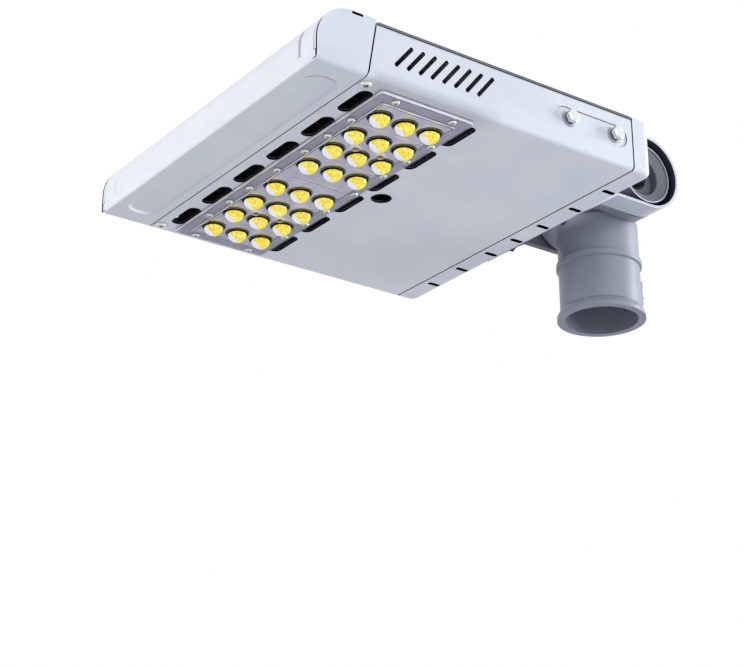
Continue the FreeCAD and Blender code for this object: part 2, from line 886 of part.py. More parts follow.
def front_cap():
    """The tray of the front cap: its underside folded up into two cheeks with a narrow tab each."""
    body = new_body("front_cap")
    low, top = head_z(0), head_z(crown_height)
    front = head_x(s.head_length)
    seam = head_x(front_seam)
    gap = s.seam_gap / 2
    side = Drawing(body, "cheek", "XZ_Plane")
    side.profile([(seam + gap, low),
                  (front - s.chin_radius, low + s.chin_radius, s.chin_radius, -90, 0),
                  (front - s.nose_radius, top - s.nose_radius, s.nose_radius, 0, 90),
                  (front_lean_line(crown_height) + gap, top)])
    pad(body, "cap_block", side, s.head_width)
    bends = Drawing(body, "cheek_bends", "YZ_Plane", front)
    for side, below, beside in ((1, -90, 0), (-1, 270, 180)):
        near, far = side * (half_width - s.bend_radius), side * (half_width + OVERCUT)
        short, under = near - side * OVERCUT, low - OVERCUT
        over = low + s.bend_radius + OVERCUT
        bends.profile([(short, low), (near, low + s.bend_radius, s.bend_radius, below, beside),
                       (side * half_width, over), (far, over), (far, under), (short, under)])
    pocket(body, "bent_corners", bends)
    hollow = Drawing(body, "hollow", "XZ_Plane")
    floor, behind, ahead = low + s.sheet, seam - s.seam_lean - OVERCUT, front + OVERCUT
    hollow.rectangle(behind, ahead, floor, top + OVERCUT)
    pocket(body, "between_tabs", hollow, (inner_half - s.cheek_tab_reach) * 2)
    around = Drawing(body, "around_tabs", "XZ_Plane")
    tab_back = front - s.cheek_tab_depth
    tab_low, tab_high = head_z(s.cheek_tab_low), head_z(s.cheek_tab_high)
    around.polygon([(behind, floor), (ahead, floor), (ahead, tab_low), (tab_back, tab_low),
                    (tab_back, tab_high), (ahead, tab_high), (ahead, top + OVERCUT), (behind, top + OVERCUT)])
    pocket(body, "between_cheeks", around, inner_half * 2)
    notch = Drawing(body, "notch", "XZ_Plane")
    notch_back = seam + s.cheek_notch_back
    notch.rectangle(notch_back, notch_back + s.cheek_notch_length, top - s.cheek_notch_depth, top + OVERCUT)
    pocket(body, "cheek_notches", notch)
    half = half_width - s.press_inset
    press = Drawing(body, "bottom_press", "XY_Plane", low)
    press.rounded(seam + s.bottom_press_back, front - s.bottom_press_front, -half, half, s.press_corner)
    pressed(body, "shallow_panel", press, s.press_depth)
    tabs = Drawing(body, "tabs", "XY_Plane", low + s.sheet * 1.5)
    for x, y in cap_screw_spots():
        tabs.rectangle(x - s.cap_tab_half, seam + s.cap_tab_half, y - s.cap_tab_half, y + s.cap_tab_half)
    pad(body, "screw_tabs", tabs, s.sheet)
    holes = Drawing(body, "tab_holes", "XY_Plane", low + s.sheet * 1.5)
    for x, y in cap_screw_spots():
        holes.circle(x, y, s.cap_screw_shank + s.screw_clearance)
    body.Tip = pocket(body, "tab_clearance", holes, s.sheet * 2)


def front_visor():
    """The bent sheet between the cheeks: front face, nose and the strip of the top."""
    body = new_body("front_visor")
    low = head_z(s.sheet) + VISOR_SEAT
    top = head_z(crown_height)
    front = head_x(s.head_length)
    back = front_lean_line(crown_height) + s.seam_gap / 2
    half = half_width - s.sheet - s.visor_gap
    strip = Drawing(body, "strip", "XZ_Plane")
    bend_x, bend_z = front - s.nose_radius, top - s.nose_radius
    strip.profile([(front, low), (bend_x, bend_z, s.nose_radius, 0, 90), (back, top), (back, top - s.sheet),
                   (bend_x, bend_z, s.nose_radius - s.sheet, 90, 0), (front - s.sheet, low)])
    pad(body, "bent_strip", strip, half * 2)
    notches = Drawing(body, "tab_notches", "YZ_Plane", front)
    tab_low, tab_high = head_z(s.cheek_tab_low) - s.visor_gap, head_z(s.cheek_tab_high) + s.visor_gap
    for side in (1, -1):
        notches.rectangle(side * (half - s.cheek_tab_reach), side * (half + OVERCUT), tab_low, tab_high)
    pocket(body, "side_notches", notches, s.cheek_tab_depth * 2 + s.sheet)
    ears = Drawing(body, "top_ears", "XY_Plane", top - s.sheet / 2)
    ear_back = head_x(front_seam) + s.cheek_notch_back + s.visor_gap
    ear_front = ear_back + s.cheek_notch_length - s.visor_gap * 2
    for side in (1, -1):
        ears.rectangle(ear_back, ear_front, side * (half - s.sheet), side * (half_width - s.visor_gap))
    pad(body, "ears_in_notches", ears, s.sheet)
    half = half_width - s.press_inset
    press = Drawing(body, "face_press", "YZ_Plane", front)
    press_low = head_z(s.face_press_low)
    press.rectangle(-half, half, press_low, press_low + s.face_press_rise)
    body.Tip = pressed_back(body, "face_panel", press, s.press_depth)


def cap_screws():
    low = head_z(0)
    screws = []
    for n, (x, y) in enumerate(cap_screw_spots()):
        screws.append(pan_screw(f"cap_screw_{n}", s.cap_screw_head, 2.4, s.cap_screw_shank,
                                s.sheet * 2 + 3, x, y, low, "-Z"))
    group("cap_screws", screws)


def rear_cap():
    """The rear pan: rounded corners, a row of drain slots and the hole for the arm's bolts."""
    body = new_body("rear_cap")
    back, front = head_x(0), head_x(s.rear_seam) - s.seam_gap / 2
    low, high = head_z(0), head_z(s.side_height) + s.cover_edge
    face = Drawing(body, "face", "YZ_Plane", (back + front) / 2)
    face.rectangle(-half_width, half_width, low, high)
    base = pad(body, "cap_block", face, front - back)
    hollow = Drawing(body, "hollow", "XY_Plane", (low + high) / 2)
    hollow.rectangle(back + s.sheet, front + OVERCUT, -inner_half, inner_half)
    base = pocket(body, "inside", hollow, high - low - s.sheet * 2)
    corners = [(back + s.sheet, y, low) for y in (inner_half, -inner_half)]
    base = round_edges(body, "inside_corners", base, ALONG_Z, corners, s.rear_corner - s.sheet)
    upright = [(back, y, low) for y in (half_width, -half_width)]
    base = round_edges(body, "upright_corners", base, ALONG_Z, upright, s.rear_corner)
    round_rim(body, "bottom_bend", base, low, s.bend_radius, front)
    slots = Drawing(body, "drain_slots", "XY_Plane", low)
    places = [as_size(0)]
    for n in range(REAR_SLOTS_A_SIDE):
        away = s.rear_slot_first + s.rear_slot_pitch * n
        places += [away, -away]
    x = head_x(s.rear_slot_x)
    for y in places:
        slots.slot(x - s.rear_slot_half, y, x + s.rear_slot_half, y, s.rear_slot_radius)
    pocket(body, "drains", slots, s.sheet * 3)
    holes = Drawing(body, "arm_holes", "YZ_Plane", back)
    holes.circle(0, cable_z, s.cable_hole)
    for y, z in arm_bolt_spots():
        holes.circle(y, z, s.arm_bolt_shank + s.screw_clearance)
    body.Tip = pocket(body, "arm_openings", holes, s.sheet * 3)


# Light module


def heat_sink():
    """The finned casting behind the window: a pad through the window, a base and a row of fins."""
    low = sink_low
    top = low + s.sink_base
    pedestal = block("sink_pedestal", module_x - board_half_x, module_x + board_half_x,
                     -board_half_y, board_half_y, board_low + s.board_thick, low + 1)
    half_x = lens_screw_x + s.sink_margin
    base = block("sink_base_plate", module_x - half_x, module_x + half_x,
                 -sink_half_y, sink_half_y, low, top)
    fin_half_x = plate_half_x + s.fin_overhang
    pitch = (sink_half_y - s.fin_inset) * 2 / (FIN_COUNT - 1)
    fins = []
    for n in range(FIN_COUNT):
        y = pitch * (n - (FIN_COUNT - 1) / 2)
        fins.append(block(f"fin_{n}", module_x - fin_half_x, module_x + fin_half_x,
                          y - s.fin_thick / 2, y + s.fin_thick / 2, top, top + s.fin_height))
    casting = join("sink_casting", [pedestal, base] + fins)
    deep = s.lens_screw_length - s.gasket_thick - s.plate_thick + 1
    drilled("heat_sink", casting, shell_holes("sink_hole", s.lens_screw_shank + THREAD_GAP, low - 1, deep))


def led_board():
    made = block("led_board", module_x - board_half_x, module_x + board_half_x,
                 -board_half_y, board_half_y, board_low, board_low + s.board_thick)
    made.Label = "led_board"


def led_chips():
    """The emitters: a thin round base and a tall phosphor dome that stands inside its lens."""
    radius = s.dome_hollow - s.emitter_gap
    emitters = []
    for m, y in enumerate(rows):
        for n, x in enumerate(columns):
            x = module_x + x
            base = rod(f"emitter_base_{m}_{n}", s.emitter_base, s.emitter_base_thick, x, y, board_low, "-Z")
            neck = rod(f"emitter_neck_{m}_{n}", radius, board_low - dome_centre, x, y, board_low, "-Z")
            dome = half_ball(f"emitter_dome_{m}_{n}", radius, x, y, dome_centre)
            emitters.append(join(f"emitter_{m}_{n}", [base, neck, dome]))
    group("led_chips", emitters)


def lens_gasket():
    """The silicone frame between the lens plate and the shell."""
    body = new_body("lens_gasket_frame")
    ring = Drawing(body, "ring", "XY_Plane", (gasket_low + head_z(0)) / 2)
    half_x, half_y = plate_half_x - s.gasket_inset, plate_half_y - s.gasket_inset
    ring.rectangle(module_x - half_x, module_x + half_x, -half_y, half_y)
    half_x = board_half_x + s.window_gap + s.gasket_inset
    half_y = board_half_y + s.window_gap + s.gasket_inset
    ring.rectangle(module_x - half_x, module_x + half_x, -half_y, half_y)
    body.Tip = pad(body, "frame", ring, s.gasket_thick)
    hole = s.lens_screw_shank + s.screw_clearance
    drilled("lens_gasket", body, shell_holes("gasket_hole", hole, gasket_low - 1, s.gasket_thick + 2))


def lens_sheet():
    """The flat of the lens plate: rounded flange, raised field, board pocket, grooves and centre bar."""
    body = new_body("lens_plate_sheet")
    flange = Drawing(body, "flange", "XY_Plane", (gasket_low + plate_low) / 2)
    flange.rounded(module_x - plate_half_x, module_x + plate_half_x,
                   -plate_half_y, plate_half_y, s.plate_corner)
    base = pad(body, "flange_plate", flange, s.plate_thick)
    round_rim(body, "flange_edge", base, plate_low, s.plate_edge)
    raised = Drawing(body, "field", "XY_Plane", plate_low)
    raised.rounded(module_x - field_half_x, module_x + field_half_x,
                   -field_half_y, field_half_y, s.field_corner)
    base = pad(body, "raised_field", raised, s.field_rise * 2)
    round_rim(body, "field_edge", base, field_low, s.plate_edge)
    cavity = Drawing(body, "cavity", "XY_Plane", gasket_low)
    half_x, half_y = board_half_x + 1, board_half_y + 1
    cavity.rectangle(module_x - half_x, module_x + half_x, -half_y, half_y)
    pocket(body, "board_cavity", cavity, s.plate_pocket * 2)
    grooves = Drawing(body, "grooves", "XY_Plane", field_low)
    half = field_half_x - s.groove_inset
    for low, high in ((s.row_first, row_2), (row_3, row_4)):
        for side in (1, -1):
            middle = side * (low + high) / 2
            grooves.rectangle(module_x - half, module_x + half,
                              middle - s.groove_width / 2, middle + s.groove_width / 2)
    pocket(body, "row_grooves", grooves, s.groove_depth * 2)
    bar = Drawing(body, "bar", "XY_Plane", field_low)
    bar.slot(module_x - s.bar_half_length, 0, module_x + s.bar_half_length, 0, s.bar_half_width)
    base = pad(body, "centre_bar", bar, s.bar_rise * 2)
    body.Tip = round_rim(body, "bar_edge", base, field_low - s.bar_rise, s.bar_edge)
    return body


def lens_plate():
    """The moulded clear plate: its sheet, a hollow dome over each emitter and small bumps between."""
    lumps, hollows = [lens_sheet()], []
    for m, y in enumerate(rows):
        for n, x in enumerate(columns):
            x = module_x + x
            lumps.append(half_ball(f"dome_{m}_{n}", dome_ball, x, y, dome_centre))
            hollows.append(half_ball(f"hollow_{m}_{n}", s.dome_hollow, x, y, dome_centre))
            hollows.append(rod(f"hollow_neck_{m}_{n}", s.dome_hollow, pocket_floor - dome_centre,
                               x, y, dome_centre, "Z"))
    middle = (row_2 + row_3) / 2
    for side, name in ((1, "left"), (-1, "right")):
        for end in (1, -1):
            x = module_x + s.column_pitch * (end * 0.5)
            lumps.append(half_ball(f"bump_{name}_{end + 1}", s.bump_radius, x, side * middle, field_low))
    moulding = join("lens_moulding", lumps)
    hole = s.lens_screw_shank + s.screw_clearance
    depth = s.plate_thick + s.field_rise + 2
    drilled("lens_plate", moulding, hollows + shell_holes("plate_hole", hole, field_low - 1, depth))


def half_ball(name, radius, x, y, z):
    """The lower half of a ball."""
    made = doc.addObject("Part::Sphere", name)
    bind(made, "Radius", radius)
    made.Angle1 = -90
    made.Angle2 = 0
    return place(made, x, y, z)


def lens_screws():
    screws = []
    for n, (x, y) in enumerate(lens_screw_spots()):
        screws.append(pan_screw(f"lens_screw_{n}", s.lens_screw_head, s.lens_screw_rise, s.lens_screw_shank,
                                s.lens_screw_length, x, y, plate_low, "-Z"))
    group("lens_screws", screws)


# Inside the housing


def mount_frame():
    """The bent strap inside the rear end that joins the arm to both side walls."""
    body = new_body("mount_frame")
    back = head_x(s.sheet)
    reach = head_x(s.frame_reach)
    low, high = head_z(s.frame_margin), head_z(s.side_height - s.frame_margin)
    bend = Drawing(body, "bend", "XY_Plane", (low + high) / 2)
    bend.polygon([(back, -inner_half), (reach, -inner_half),
                  (reach, -frame_inner), (web_front, -frame_inner),
                  (web_front, frame_inner), (reach, frame_inner),
                  (reach, inner_half), (back, inner_half)])
    base = pad(body, "strap", bend, high - low)
    outer = [(back, y, low) for y in (inner_half, -inner_half)]
    base = round_edges(body, "outer_bends", base, ALONG_Z, outer, s.frame_corner)
    inner = [(web_front, y, low) for y in (frame_inner, -frame_inner)]
    round_edges(body, "inner_bends", base, ALONG_Z, inner, s.frame_corner - s.frame_thick)
    sides = Drawing(body, "side_holes", "XZ_Plane")
    for x, z in side_bolt_spots():
        sides.circle(x, z, s.side_bolt_shank + s.screw_clearance)
    pocket(body, "side_clearance", sides)
    web = Drawing(body, "web_holes", "YZ_Plane", (back + web_front) / 2)
    web.circle(0, cable_z, s.cable_hole)
    for y, z in arm_bolt_spots():
        web.circle(y, z, s.arm_bolt_shank + s.screw_clearance)
    body.Tip = pocket(body, "web_clearance", web, s.frame_thick * 2)


def driver_tray():
    """The tray that carries the electrical parts, held by the side bolts at its turned-up ends."""
    body = new_body("driver_tray_sheet")
    back, front = head_x(s.tray_back), head_x(s.tray_front)
    end = frame_inner
    high = head_z(s.side_height - s.tray_end_drop)
    fold = Drawing(body, "fold", "YZ_Plane", (back + front) / 2)
    inner = end - s.tray_thick
    fold.polygon([(-end, tray_low), (end, tray_low), (end, high), (inner, high), (inner, tray_top),
                  (-inner, tray_top), (-inner, high), (-end, high)])
    base = pad(body, "folded_tray", fold, front - back)
    edges = [(back, y, tray_low) for y in (end, -end)]
    round_edges(body, "bends", base, ALONG_X, edges, s.tray_thick)
    holes = Drawing(body, "bolt_holes", "XZ_Plane")
    for x, z in side_bolt_spots():
        holes.circle(x, z, s.side_bolt_shank + s.screw_clearance)
    body.Tip = pocket(body, "bolt_clearance", holes)
    tools = []
    for n, (x, y) in enumerate(tray_screw_spots()):
        tools.append(rod(f"tray_hole_{n}", s.tray_screw_shank + THREAD_GAP, s.tray_thick + 2,
                         x, y, tray_low - 1, "Z"))
    drilled("driver_tray", body, tools)


def driver():
    """The potted driver: a plain case with a screw foot at each end."""
    x0, x1 = head_x(s.driver_back), head_x(s.driver_front)
    top = tray_top + s.driver_height
    case = block("driver_block", x0, x1, -s.driver_half_y, s.driver_half_y, tray_top, top)
    corners = [(x, 0, top) for x in (x0, x1)]
    case = soften("driver_case", case, ALONG_Y, corners, s.driver_edge)
    long_half = s.driver_half_y + s.driver_foot
    foot = block("driver_foot_plate", x0 + s.driver_foot_inset, x1 - s.driver_foot_inset,
                 -long_half, long_half, tray_top, tray_top + s.foot_thick)
    whole = join("driver_solid", [case, foot])
    tools = []
    for n, (x, y) in enumerate(tray_screw_spots()[:4]):
        tools.append(rod(f"driver_hole_{n}", s.tray_screw_shank + s.screw_clearance, s.foot_thick + 2,
                         x, y, tray_top - 1, "Z"))
    drilled("driver", whole, tools)


def small_case(name, y, half_x, half_y, height, foot_side):
    """A moulded case on the tray with one screw foot."""
    x = head_x(s.blocks_x)
    top = tray_top + height
    case = block(f"{name}_block", x - half_x, x + half_x, y - half_y, y + half_y, tray_top, top)
    corners = [(x + a * half_x, y + b * half_y, top) for a in (1, -1) for b in (1, -1)]
    case = soften(f"{name}_case", case, ALONG_Z, corners, s.block_round)
    tip = y + foot_side * (half_y + s.block_foot)
    near, far = (y, tip) if foot_side > 0 else (tip, y)
    foot = block(f"{name}_foot", x - s.block_foot_half, x + s.block_foot_half, near, far,
                 tray_top, tray_top + s.foot_thick)
    return join(f"{name}_solid", [case, foot])


def foot_hole(name, spot):
    x, y = spot
    radius = s.tray_screw_shank + s.screw_clearance
    return rod(f"{name}_hole", radius, s.foot_thick + 2, x, y, tray_top - 1, "Z")


def surge_protector():
    whole = small_case("surge", s.surge_y, s.surge_half_x, s.surge_half_y, s.surge_height, 1)
    drilled("surge_protector", whole, [foot_hole("surge", tray_screw_spots()[4])])


def terminal_block():
    """Three wire entries right through, each with a screw well from above."""
    half_x, half_y = s.terminal_half_x, s.terminal_half_y
    whole = small_case("terminal", s.terminal_y, half_x, half_y, s.terminal_height, -1)
    tools = [foot_hole("terminal", tray_screw_spots()[5])]
    x = head_x(s.blocks_x)
    step = half_y * 2 / TERMINAL_WAYS
    for n in range(TERMINAL_WAYS):
        y = s.terminal_y - half_y + step * (n + 0.5)
        tools.append(rod(f"entry_{n}", s.terminal_entry, half_x * 2 + 2, x - half_x - 1, y,
                         tray_top + s.terminal_height * 0.4, "X"))
        tools.append(rod(f"well_{n}", s.terminal_well, s.terminal_height * 0.6, x, y,
                         tray_top + s.terminal_height * 0.5, "Z"))
    drilled("terminal_block", whole, tools)


def tray_screws():
    reach = s.foot_thick + s.tray_thick + 1
    seat = tray_top + s.foot_thick
    screws = []
    for n, (x, y) in enumerate(tray_screw_spots()):
        screws.append(pan_screw(f"tray_screw_{n}", s.tray_screw_head, s.tray_screw_rise, s.tray_screw_shank,
                                reach, x, y, seat, "Z"))
    group("tray_screws", screws)


def cable_grommet():
    """The rubber sleeve through the rear wall and the frame, where the mains cable comes in."""
    body = new_body("cable_grommet")
    z = cable_z
    back = head_x(0)
    skirt = s.cable_hole - s.screw_clearance
    lip = web_front + s.grommet_lip
    behind = web_front + GROMMET_SEAT
    profile = Drawing(body, "profile", "XZ_Plane")
    profile.polygon([(back, z + s.grommet_bore), (lip, z + s.grommet_bore), (lip, z + s.cable_hole + 2),
                     (behind, z + s.cable_hole + 3), (behind, z + skirt), (back, z + skirt)])
    profile.axle(back, web_front, z)
    body.Tip = turned(body, "Revolution", "sleeve", profile, "Axis0")


# Fasteners of the side walls


def side_stack():
    """On each side: hex screw, spring washer and flat washer outside, nut inside."""
    seat = half_width - s.recess_depth
    washer = seat + s.side_washer_thick
    spring = washer + s.side_spring_thick
    nut_face = frame_inner - s.tray_thick
    hole = s.side_bolt_shank + s.screw_clearance
    thread = s.side_bolt_shank + THREAD_GAP
    reach = spring - nut_face + s.side_nut_height + 2
    bolts, flats, springs, nuts = [], [], [], []
    for side, facing, back in ((1, "Y", "-Y"), (-1, "-Y", "Y")):
        for n, (x, z) in enumerate(side_bolt_spots()):
            tag = f"{'left' if side > 0 else 'right'}_{n}"
            seat_y = side * spring
            head = hex_bar(f"side_head_{tag}", s.side_bolt_flats, s.side_bolt_head, x, seat_y, z, facing)
            shank = rod(f"side_shank_{tag}", s.side_bolt_shank, reach, x, seat_y, z, back)
            head = soften_head(f"side_cap_{tag}", head, x, side * (spring + s.side_bolt_head), z)
            bolts.append(join(f"side_bolt_{tag}", [head, shank]))
            flats.append(ring(f"side_washer_{tag}", s.side_washer_radius, hole, s.side_washer_thick,
                              x, side * seat, z, facing))
            springs.append(ring(f"side_spring_{tag}", s.side_spring_radius, hole, s.side_spring_thick,
                                x, side * washer, z, facing))
            nuts.append(nut(f"side_nut_{tag}", s.side_bolt_flats, thread, s.side_nut_height,
                            x, side * nut_face, z, back))
    group("side_bolts", bolts)
    group("side_flat_washers", flats)
    group("side_spring_washers", springs)
    group("side_nuts", nuts)


def soften_head(name, head, x, y, z):
    """Takes the corners off a hex head with a cone, as turned screw heads have them."""
    facing = "-Y" if y.value > 0 else "Y"
    tall = s.side_bolt_flats
    trim = s.side_bolt_flats / 2 - s.side_bolt_edge
    cone = taper(f"{name}_cone", trim, trim + tall * HEAD_CHAMFER, tall, x, y, z, facing)
    made = doc.addObject("Part::MultiCommon", name)
    made.Shapes = [head, cone]
    return made


def ring(name, outer, inner, thick, x, y, z, facing):
    whole = rod(f"{name}_disc", outer, thick, x, y, z, facing)
    return drilled(name, whole, [rod(f"{name}_hole", inner, thick, x, y, z, facing)])


def nut(name, flats, inner, thick, x, y, z, facing):
    whole = hex_bar(f"{name}_bar", flats, thick, x, y, z, facing)
    return drilled(name, whole, [rod(f"{name}_hole", inner, thick, x, y, z, facing)])


# Tilt arm and pivot


def tangent_spot(x, z, radius):
    """Where a line from a point over the arm touches a circle about the pivot, on its upper side."""
    down = z - axis
    far = x * x + down * down
    along = radius * radius / far
    across = radius * (far - radius * radius).root() / far
    return along * x - across * down, axis + along * down + across * x


def ear_outline(radius, knee, tip_x, tip_low, tip_high):
    """The ear's lower edge runs level from the drum to a knee and drops to the flange; its upper
    edge is the tangent from the flange to the drum."""
    low = axis - radius
    top_x, top_z = tangent_spot(tip_x, tip_high, radius)
    return [(0, low), (knee, low), (tip_x, tip_low), (tip_x, tip_high), (top_x, top_z), (0, axis)]


def tilt_arm():
    """The fork casting: a flange on the rear wall, a deep cupped ear and a flat ear behind it."""
    body = new_body("tilt_arm")
    flange_back = head_x(0) - s.flange_thick
    low, high = head_z(s.flange_low), flange_high
    plate = Drawing(body, "flange", "YZ_Plane", head_x(0) - s.flange_thick / 2)
    plate.rectangle(far_ear_face - s.flange_overhang, near_ear_face, low, high)
    pad(body, "flange_plate", plate, s.flange_thick)
    holes = Drawing(body, "flange_holes", "YZ_Plane", head_x(0) - s.flange_thick / 2)
    holes.circle(0, cable_z, s.cable_hole)
    for y, z in arm_bolt_spots():
        holes.circle(y, z, s.arm_bolt_shank + s.screw_clearance)
    pocket(body, "flange_clearance", holes, s.flange_thick * 2)

    tip = flange_back + 1
    outline = ear_outline(s.drum_radius, s.arm_knee, tip, low, high)
    for name, inner, outer in (("near", ear_inside, near_ear_face), ("far", far_ear_face, -ear_inside)):
        middle = (inner + outer) / 2
        web = Drawing(body, f"{name}_web", "XZ_Plane", -middle).polygon(outline)
        pad(body, f"{name}_arm", web, outer - inner)
        disc = Drawing(body, f"{name}_disc", "XZ_Plane", -middle).circle(0, axis, s.drum_radius)
        pad(body, f"{name}_ear", disc, outer - inner)

    floor = ear_inside + s.ear_web
    depth = near_ear_face - floor
    inner_radius = s.drum_radius - s.ear_rim
    inside = ear_outline(inner_radius, s.arm_knee - s.ear_rim / 2, flange_back - s.ear_rim,
                         low + s.ear_rim * 3, high - s.ear_rim)
    hollow = Drawing(body, "arm_recess", "XZ_Plane", -near_ear_face).polygon(inside)
    pocket(body, "arm_hollow", hollow, depth * 2)
    cup = Drawing(body, "cup", "XZ_Plane", -near_ear_face).circle(0, axis, inner_radius)
    pocket(body, "cup_hollow", cup, depth * 2)

    lip_y = near_ear_face - s.cup_lip_depth
    step_y = near_ear_face - s.cup_step_depth
    lip_in = s.cup_lip_radius - s.cup_lip_width
    seat = Drawing(body, "cup_ring", "YZ_Plane")
    seat.polygon([(floor - 1, axis + s.cup_step_radius), (step_y, axis + s.cup_step_radius),
                  (lip_y - 1.5, axis + lip_in), (lip_y, axis + lip_in),
                  (lip_y, axis + s.cup_lip_radius), (floor - 1, axis + s.cup_lip_radius)])
    seat.axle(floor, lip_y, axis)
    turned(body, "Revolution", "ringed_seat", seat, "Axis0")
    bolt = Drawing(body, "pivot_hole", "XZ_Plane").circle(0, axis, s.pivot_radius + s.pivot_fit)
    body.Tip = pocket(body, "pivot_clearance", bolt)


def arm_fasteners():
    """Four screws from the arm's side through flange, rear wall and frame, with nuts inside."""
    flange_back = head_x(0) - s.flange_thick
    reach = web_front + s.arm_nut_height + 2 - flange_back
    bolts, nuts = [], []
    for n, (y, z) in enumerate(arm_bolt_spots()):
        head = hex_bar(f"arm_head_{n}", s.arm_bolt_flats, s.arm_bolt_head, flange_back, y, z, "-X")
        shank = rod(f"arm_shank_{n}", s.arm_bolt_shank, reach, flange_back, y, z, "X")
        bolts.append(join(f"arm_bolt_{n}", [head, shank]))
        nuts.append(nut(f"arm_nut_{n}", s.arm_bolt_flats, s.arm_bolt_shank + THREAD_GAP, s.arm_nut_height,
                        web_front, y, z, "X"))
    group("arm_bolts", bolts)
    group("arm_nuts", nuts)


def pivot():
    """The through bolt of the tilt joint with its washers and nut, and the friction discs."""
    floor = ear_inside + s.ear_web
    head_seat = floor + s.pivot_washer_thick
    nut_seat = far_ear_face - s.pivot_washer_thick
    reach = head_seat - nut_seat + s.pivot_nut_height + 3
    rim = rod("pivot_head_edge", s.pivot_head_radius, s.pivot_head_rim, 0, head_seat, axis, "Y")
    head = taper("pivot_head_cone", s.pivot_head_radius, s.pivot_head_top, s.pivot_head - s.pivot_head_rim,
                 0, head_seat + s.pivot_head_rim, axis, "Y")
    shank = rod("pivot_shank", s.pivot_radius, reach, 0, head_seat, axis, "-Y")
    socket = hex_bar("pivot_key", s.pivot_socket, s.pivot_socket_depth + 1, 0,
                     head_seat + s.pivot_head - s.pivot_socket_depth, axis, "Y")
    drilled("pivot_bolt", join("pivot_solid", [rim, head, shank]), [socket])
    thread = s.pivot_radius + THREAD_GAP
    nut("pivot_nut", s.pivot_nut_flats, thread, s.pivot_nut_height, 0, nut_seat, axis, "-Y")
    hole = s.pivot_radius + s.pivot_fit
    group("pivot_washers", [
        ring("near_washer", s.pivot_washer_radius, hole, s.pivot_washer_thick, 0, floor, axis, "Y"),
        ring("far_washer", s.pivot_washer_radius, hole, s.pivot_washer_thick, 0, far_ear_face, axis, "-Y"),
    ])
    group("friction_discs", [
        ring("near_friction", s.disc_radius, hole, s.disc_thick, 0, ear_inside, axis, "-Y"),
        ring("far_friction", s.disc_radius, hole, s.disc_thick, 0, -ear_inside, axis, "Y"),
    ])


# Spigot


def spigot():
    """The casting on the pole: a sleeve with a bead and a flared mouth, and the drum across its top."""
    body = new_body("spigot")
    flare = sleeve_radius
    rim = sleeve_radius + s.rim_rise
    bead = sleeve_radius + s.bead_rise
    bead_high = s.bead_low + s.bead_width
    wall = Drawing(body, "sleeve", "XZ_Plane")
    wall.polygon([
        (s.bore_radius, 0), (rim, 0), (rim, s.rim_height),
        (flare + s.crease * 2, s.flare_top - s.crease * 2), (flare - s.crease, s.flare_top),
        (flare, s.flare_top + s.crease * 2), (flare, s.bead_low), (bead, s.bead_low + s.bead_slope),
        (bead, bead_high - s.bead_slope), (flare, bead_high), (flare, sleeve_top - s.shoulder),
        (flare - s.shoulder, sleeve_top), (0, sleeve_top), (0, s.bore_depth), (s.bore_radius, s.bore_depth),
    ])
    turned(body, "Revolution", "turned_sleeve", wall, "V_Axis")
    drum = Drawing(body, "drum", "XZ_Plane").circle(0, axis, s.drum_radius)
    pad(body, "cross_drum", drum, s.drum_half * 2)
    boss = Drawing(body, "boss", "XZ_Plane")
    root = -s.bore_radius - s.sleeve_wall / 3
    boss.rectangle(-boss_reach, root, s.boss_low, s.boss_high)
    pad(body, "screw_boss", boss, s.boss_half_y * 2)
    bore = Drawing(body, "pivot_bore", "XZ_Plane").circle(0, axis, s.pivot_radius + s.pivot_fit)
    pocket(body, "pivot_hole", bore)
    window_z = sleeve_top + s.wire_window + 1
    wires = Drawing(body, "wire_bore", "XY_Plane", s.bore_depth)
    wires.circle(0, 0, s.wire_bore)
    pocket(body, "wire_way", wires, (window_z - s.bore_depth) * 2)
    window = Drawing(body, "wire_window", "YZ_Plane", s.drum_radius)
    window.circle(0, window_z, s.wire_window)
    pocket(body, "wire_exit", window, s.drum_radius * 2)
    taps = Drawing(body, "screw_taps", "YZ_Plane", -boss_reach)
    for z in pole_screw_heights():
        taps.circle(0, z, s.pole_screw_shank + THREAD_GAP)
    body.Tip = pocket(body, "tapped_holes", taps, (boss_reach - s.bore_radius) * 2 + OVERCUT * 2)


def pole_screw_heights():
    return [s.boss_low + s.pole_screw_inset, s.boss_high - s.pole_screw_inset]


def pole_screws():
    """The two screws that grip the pole, backed off to the wall of the bore."""
    seat = -boss_reach - s.pole_screw_stand
    reach = -seat - s.bore_radius - s.pole_screw_backed_off
    screws = []
    for n, z in enumerate(pole_screw_heights()):
        head = hex_bar(f"pole_head_{n}", s.pole_screw_flats, s.pole_screw_head, seat, 0, z, "-X")
        shank = rod(f"pole_shank_{n}", s.pole_screw_shank, reach, seat, 0, z, "X")
        screws.append(join(f"pole_screw_{n}", [head, shank]))
    group("pole_screws", screws)


def build():
    main_shell()
    top_cover()
    cover_screws()
    front_cap()
    front_visor()
    cap_screws()
    rear_cap()
    heat_sink()
    led_board()
    led_chips()
    lens_gasket()
    lens_plate()
    lens_screws()
    mount_frame()
    driver_tray()
    driver()
    surge_protector()
    terminal_block()
    tray_screws()
    cable_grommet()
    side_stack()
    tilt_arm()
    arm_fasteners()
    pivot()
    spigot()
    pole_screws()


NODES = [
    "main_shell", "top_cover", "cover_screws", "front_cap", "front_visor", "cap_screws", "rear_cap",
    "heat_sink", "led_board", "led_chips", "lens_gasket", "lens_plate", "lens_screws",
    "mount_frame", "driver_tray", "driver", "surge_protector", "terminal_block", "tray_screws",
    "cable_grommet", "side_bolts", "side_flat_washers", "side_spring_washers", "side_nuts",
    "tilt_arm", "arm_bolts", "arm_nuts", "pivot_bolt", "pivot_nut", "pivot_washers",
    "friction_discs", "spigot", "pole_screws",
]


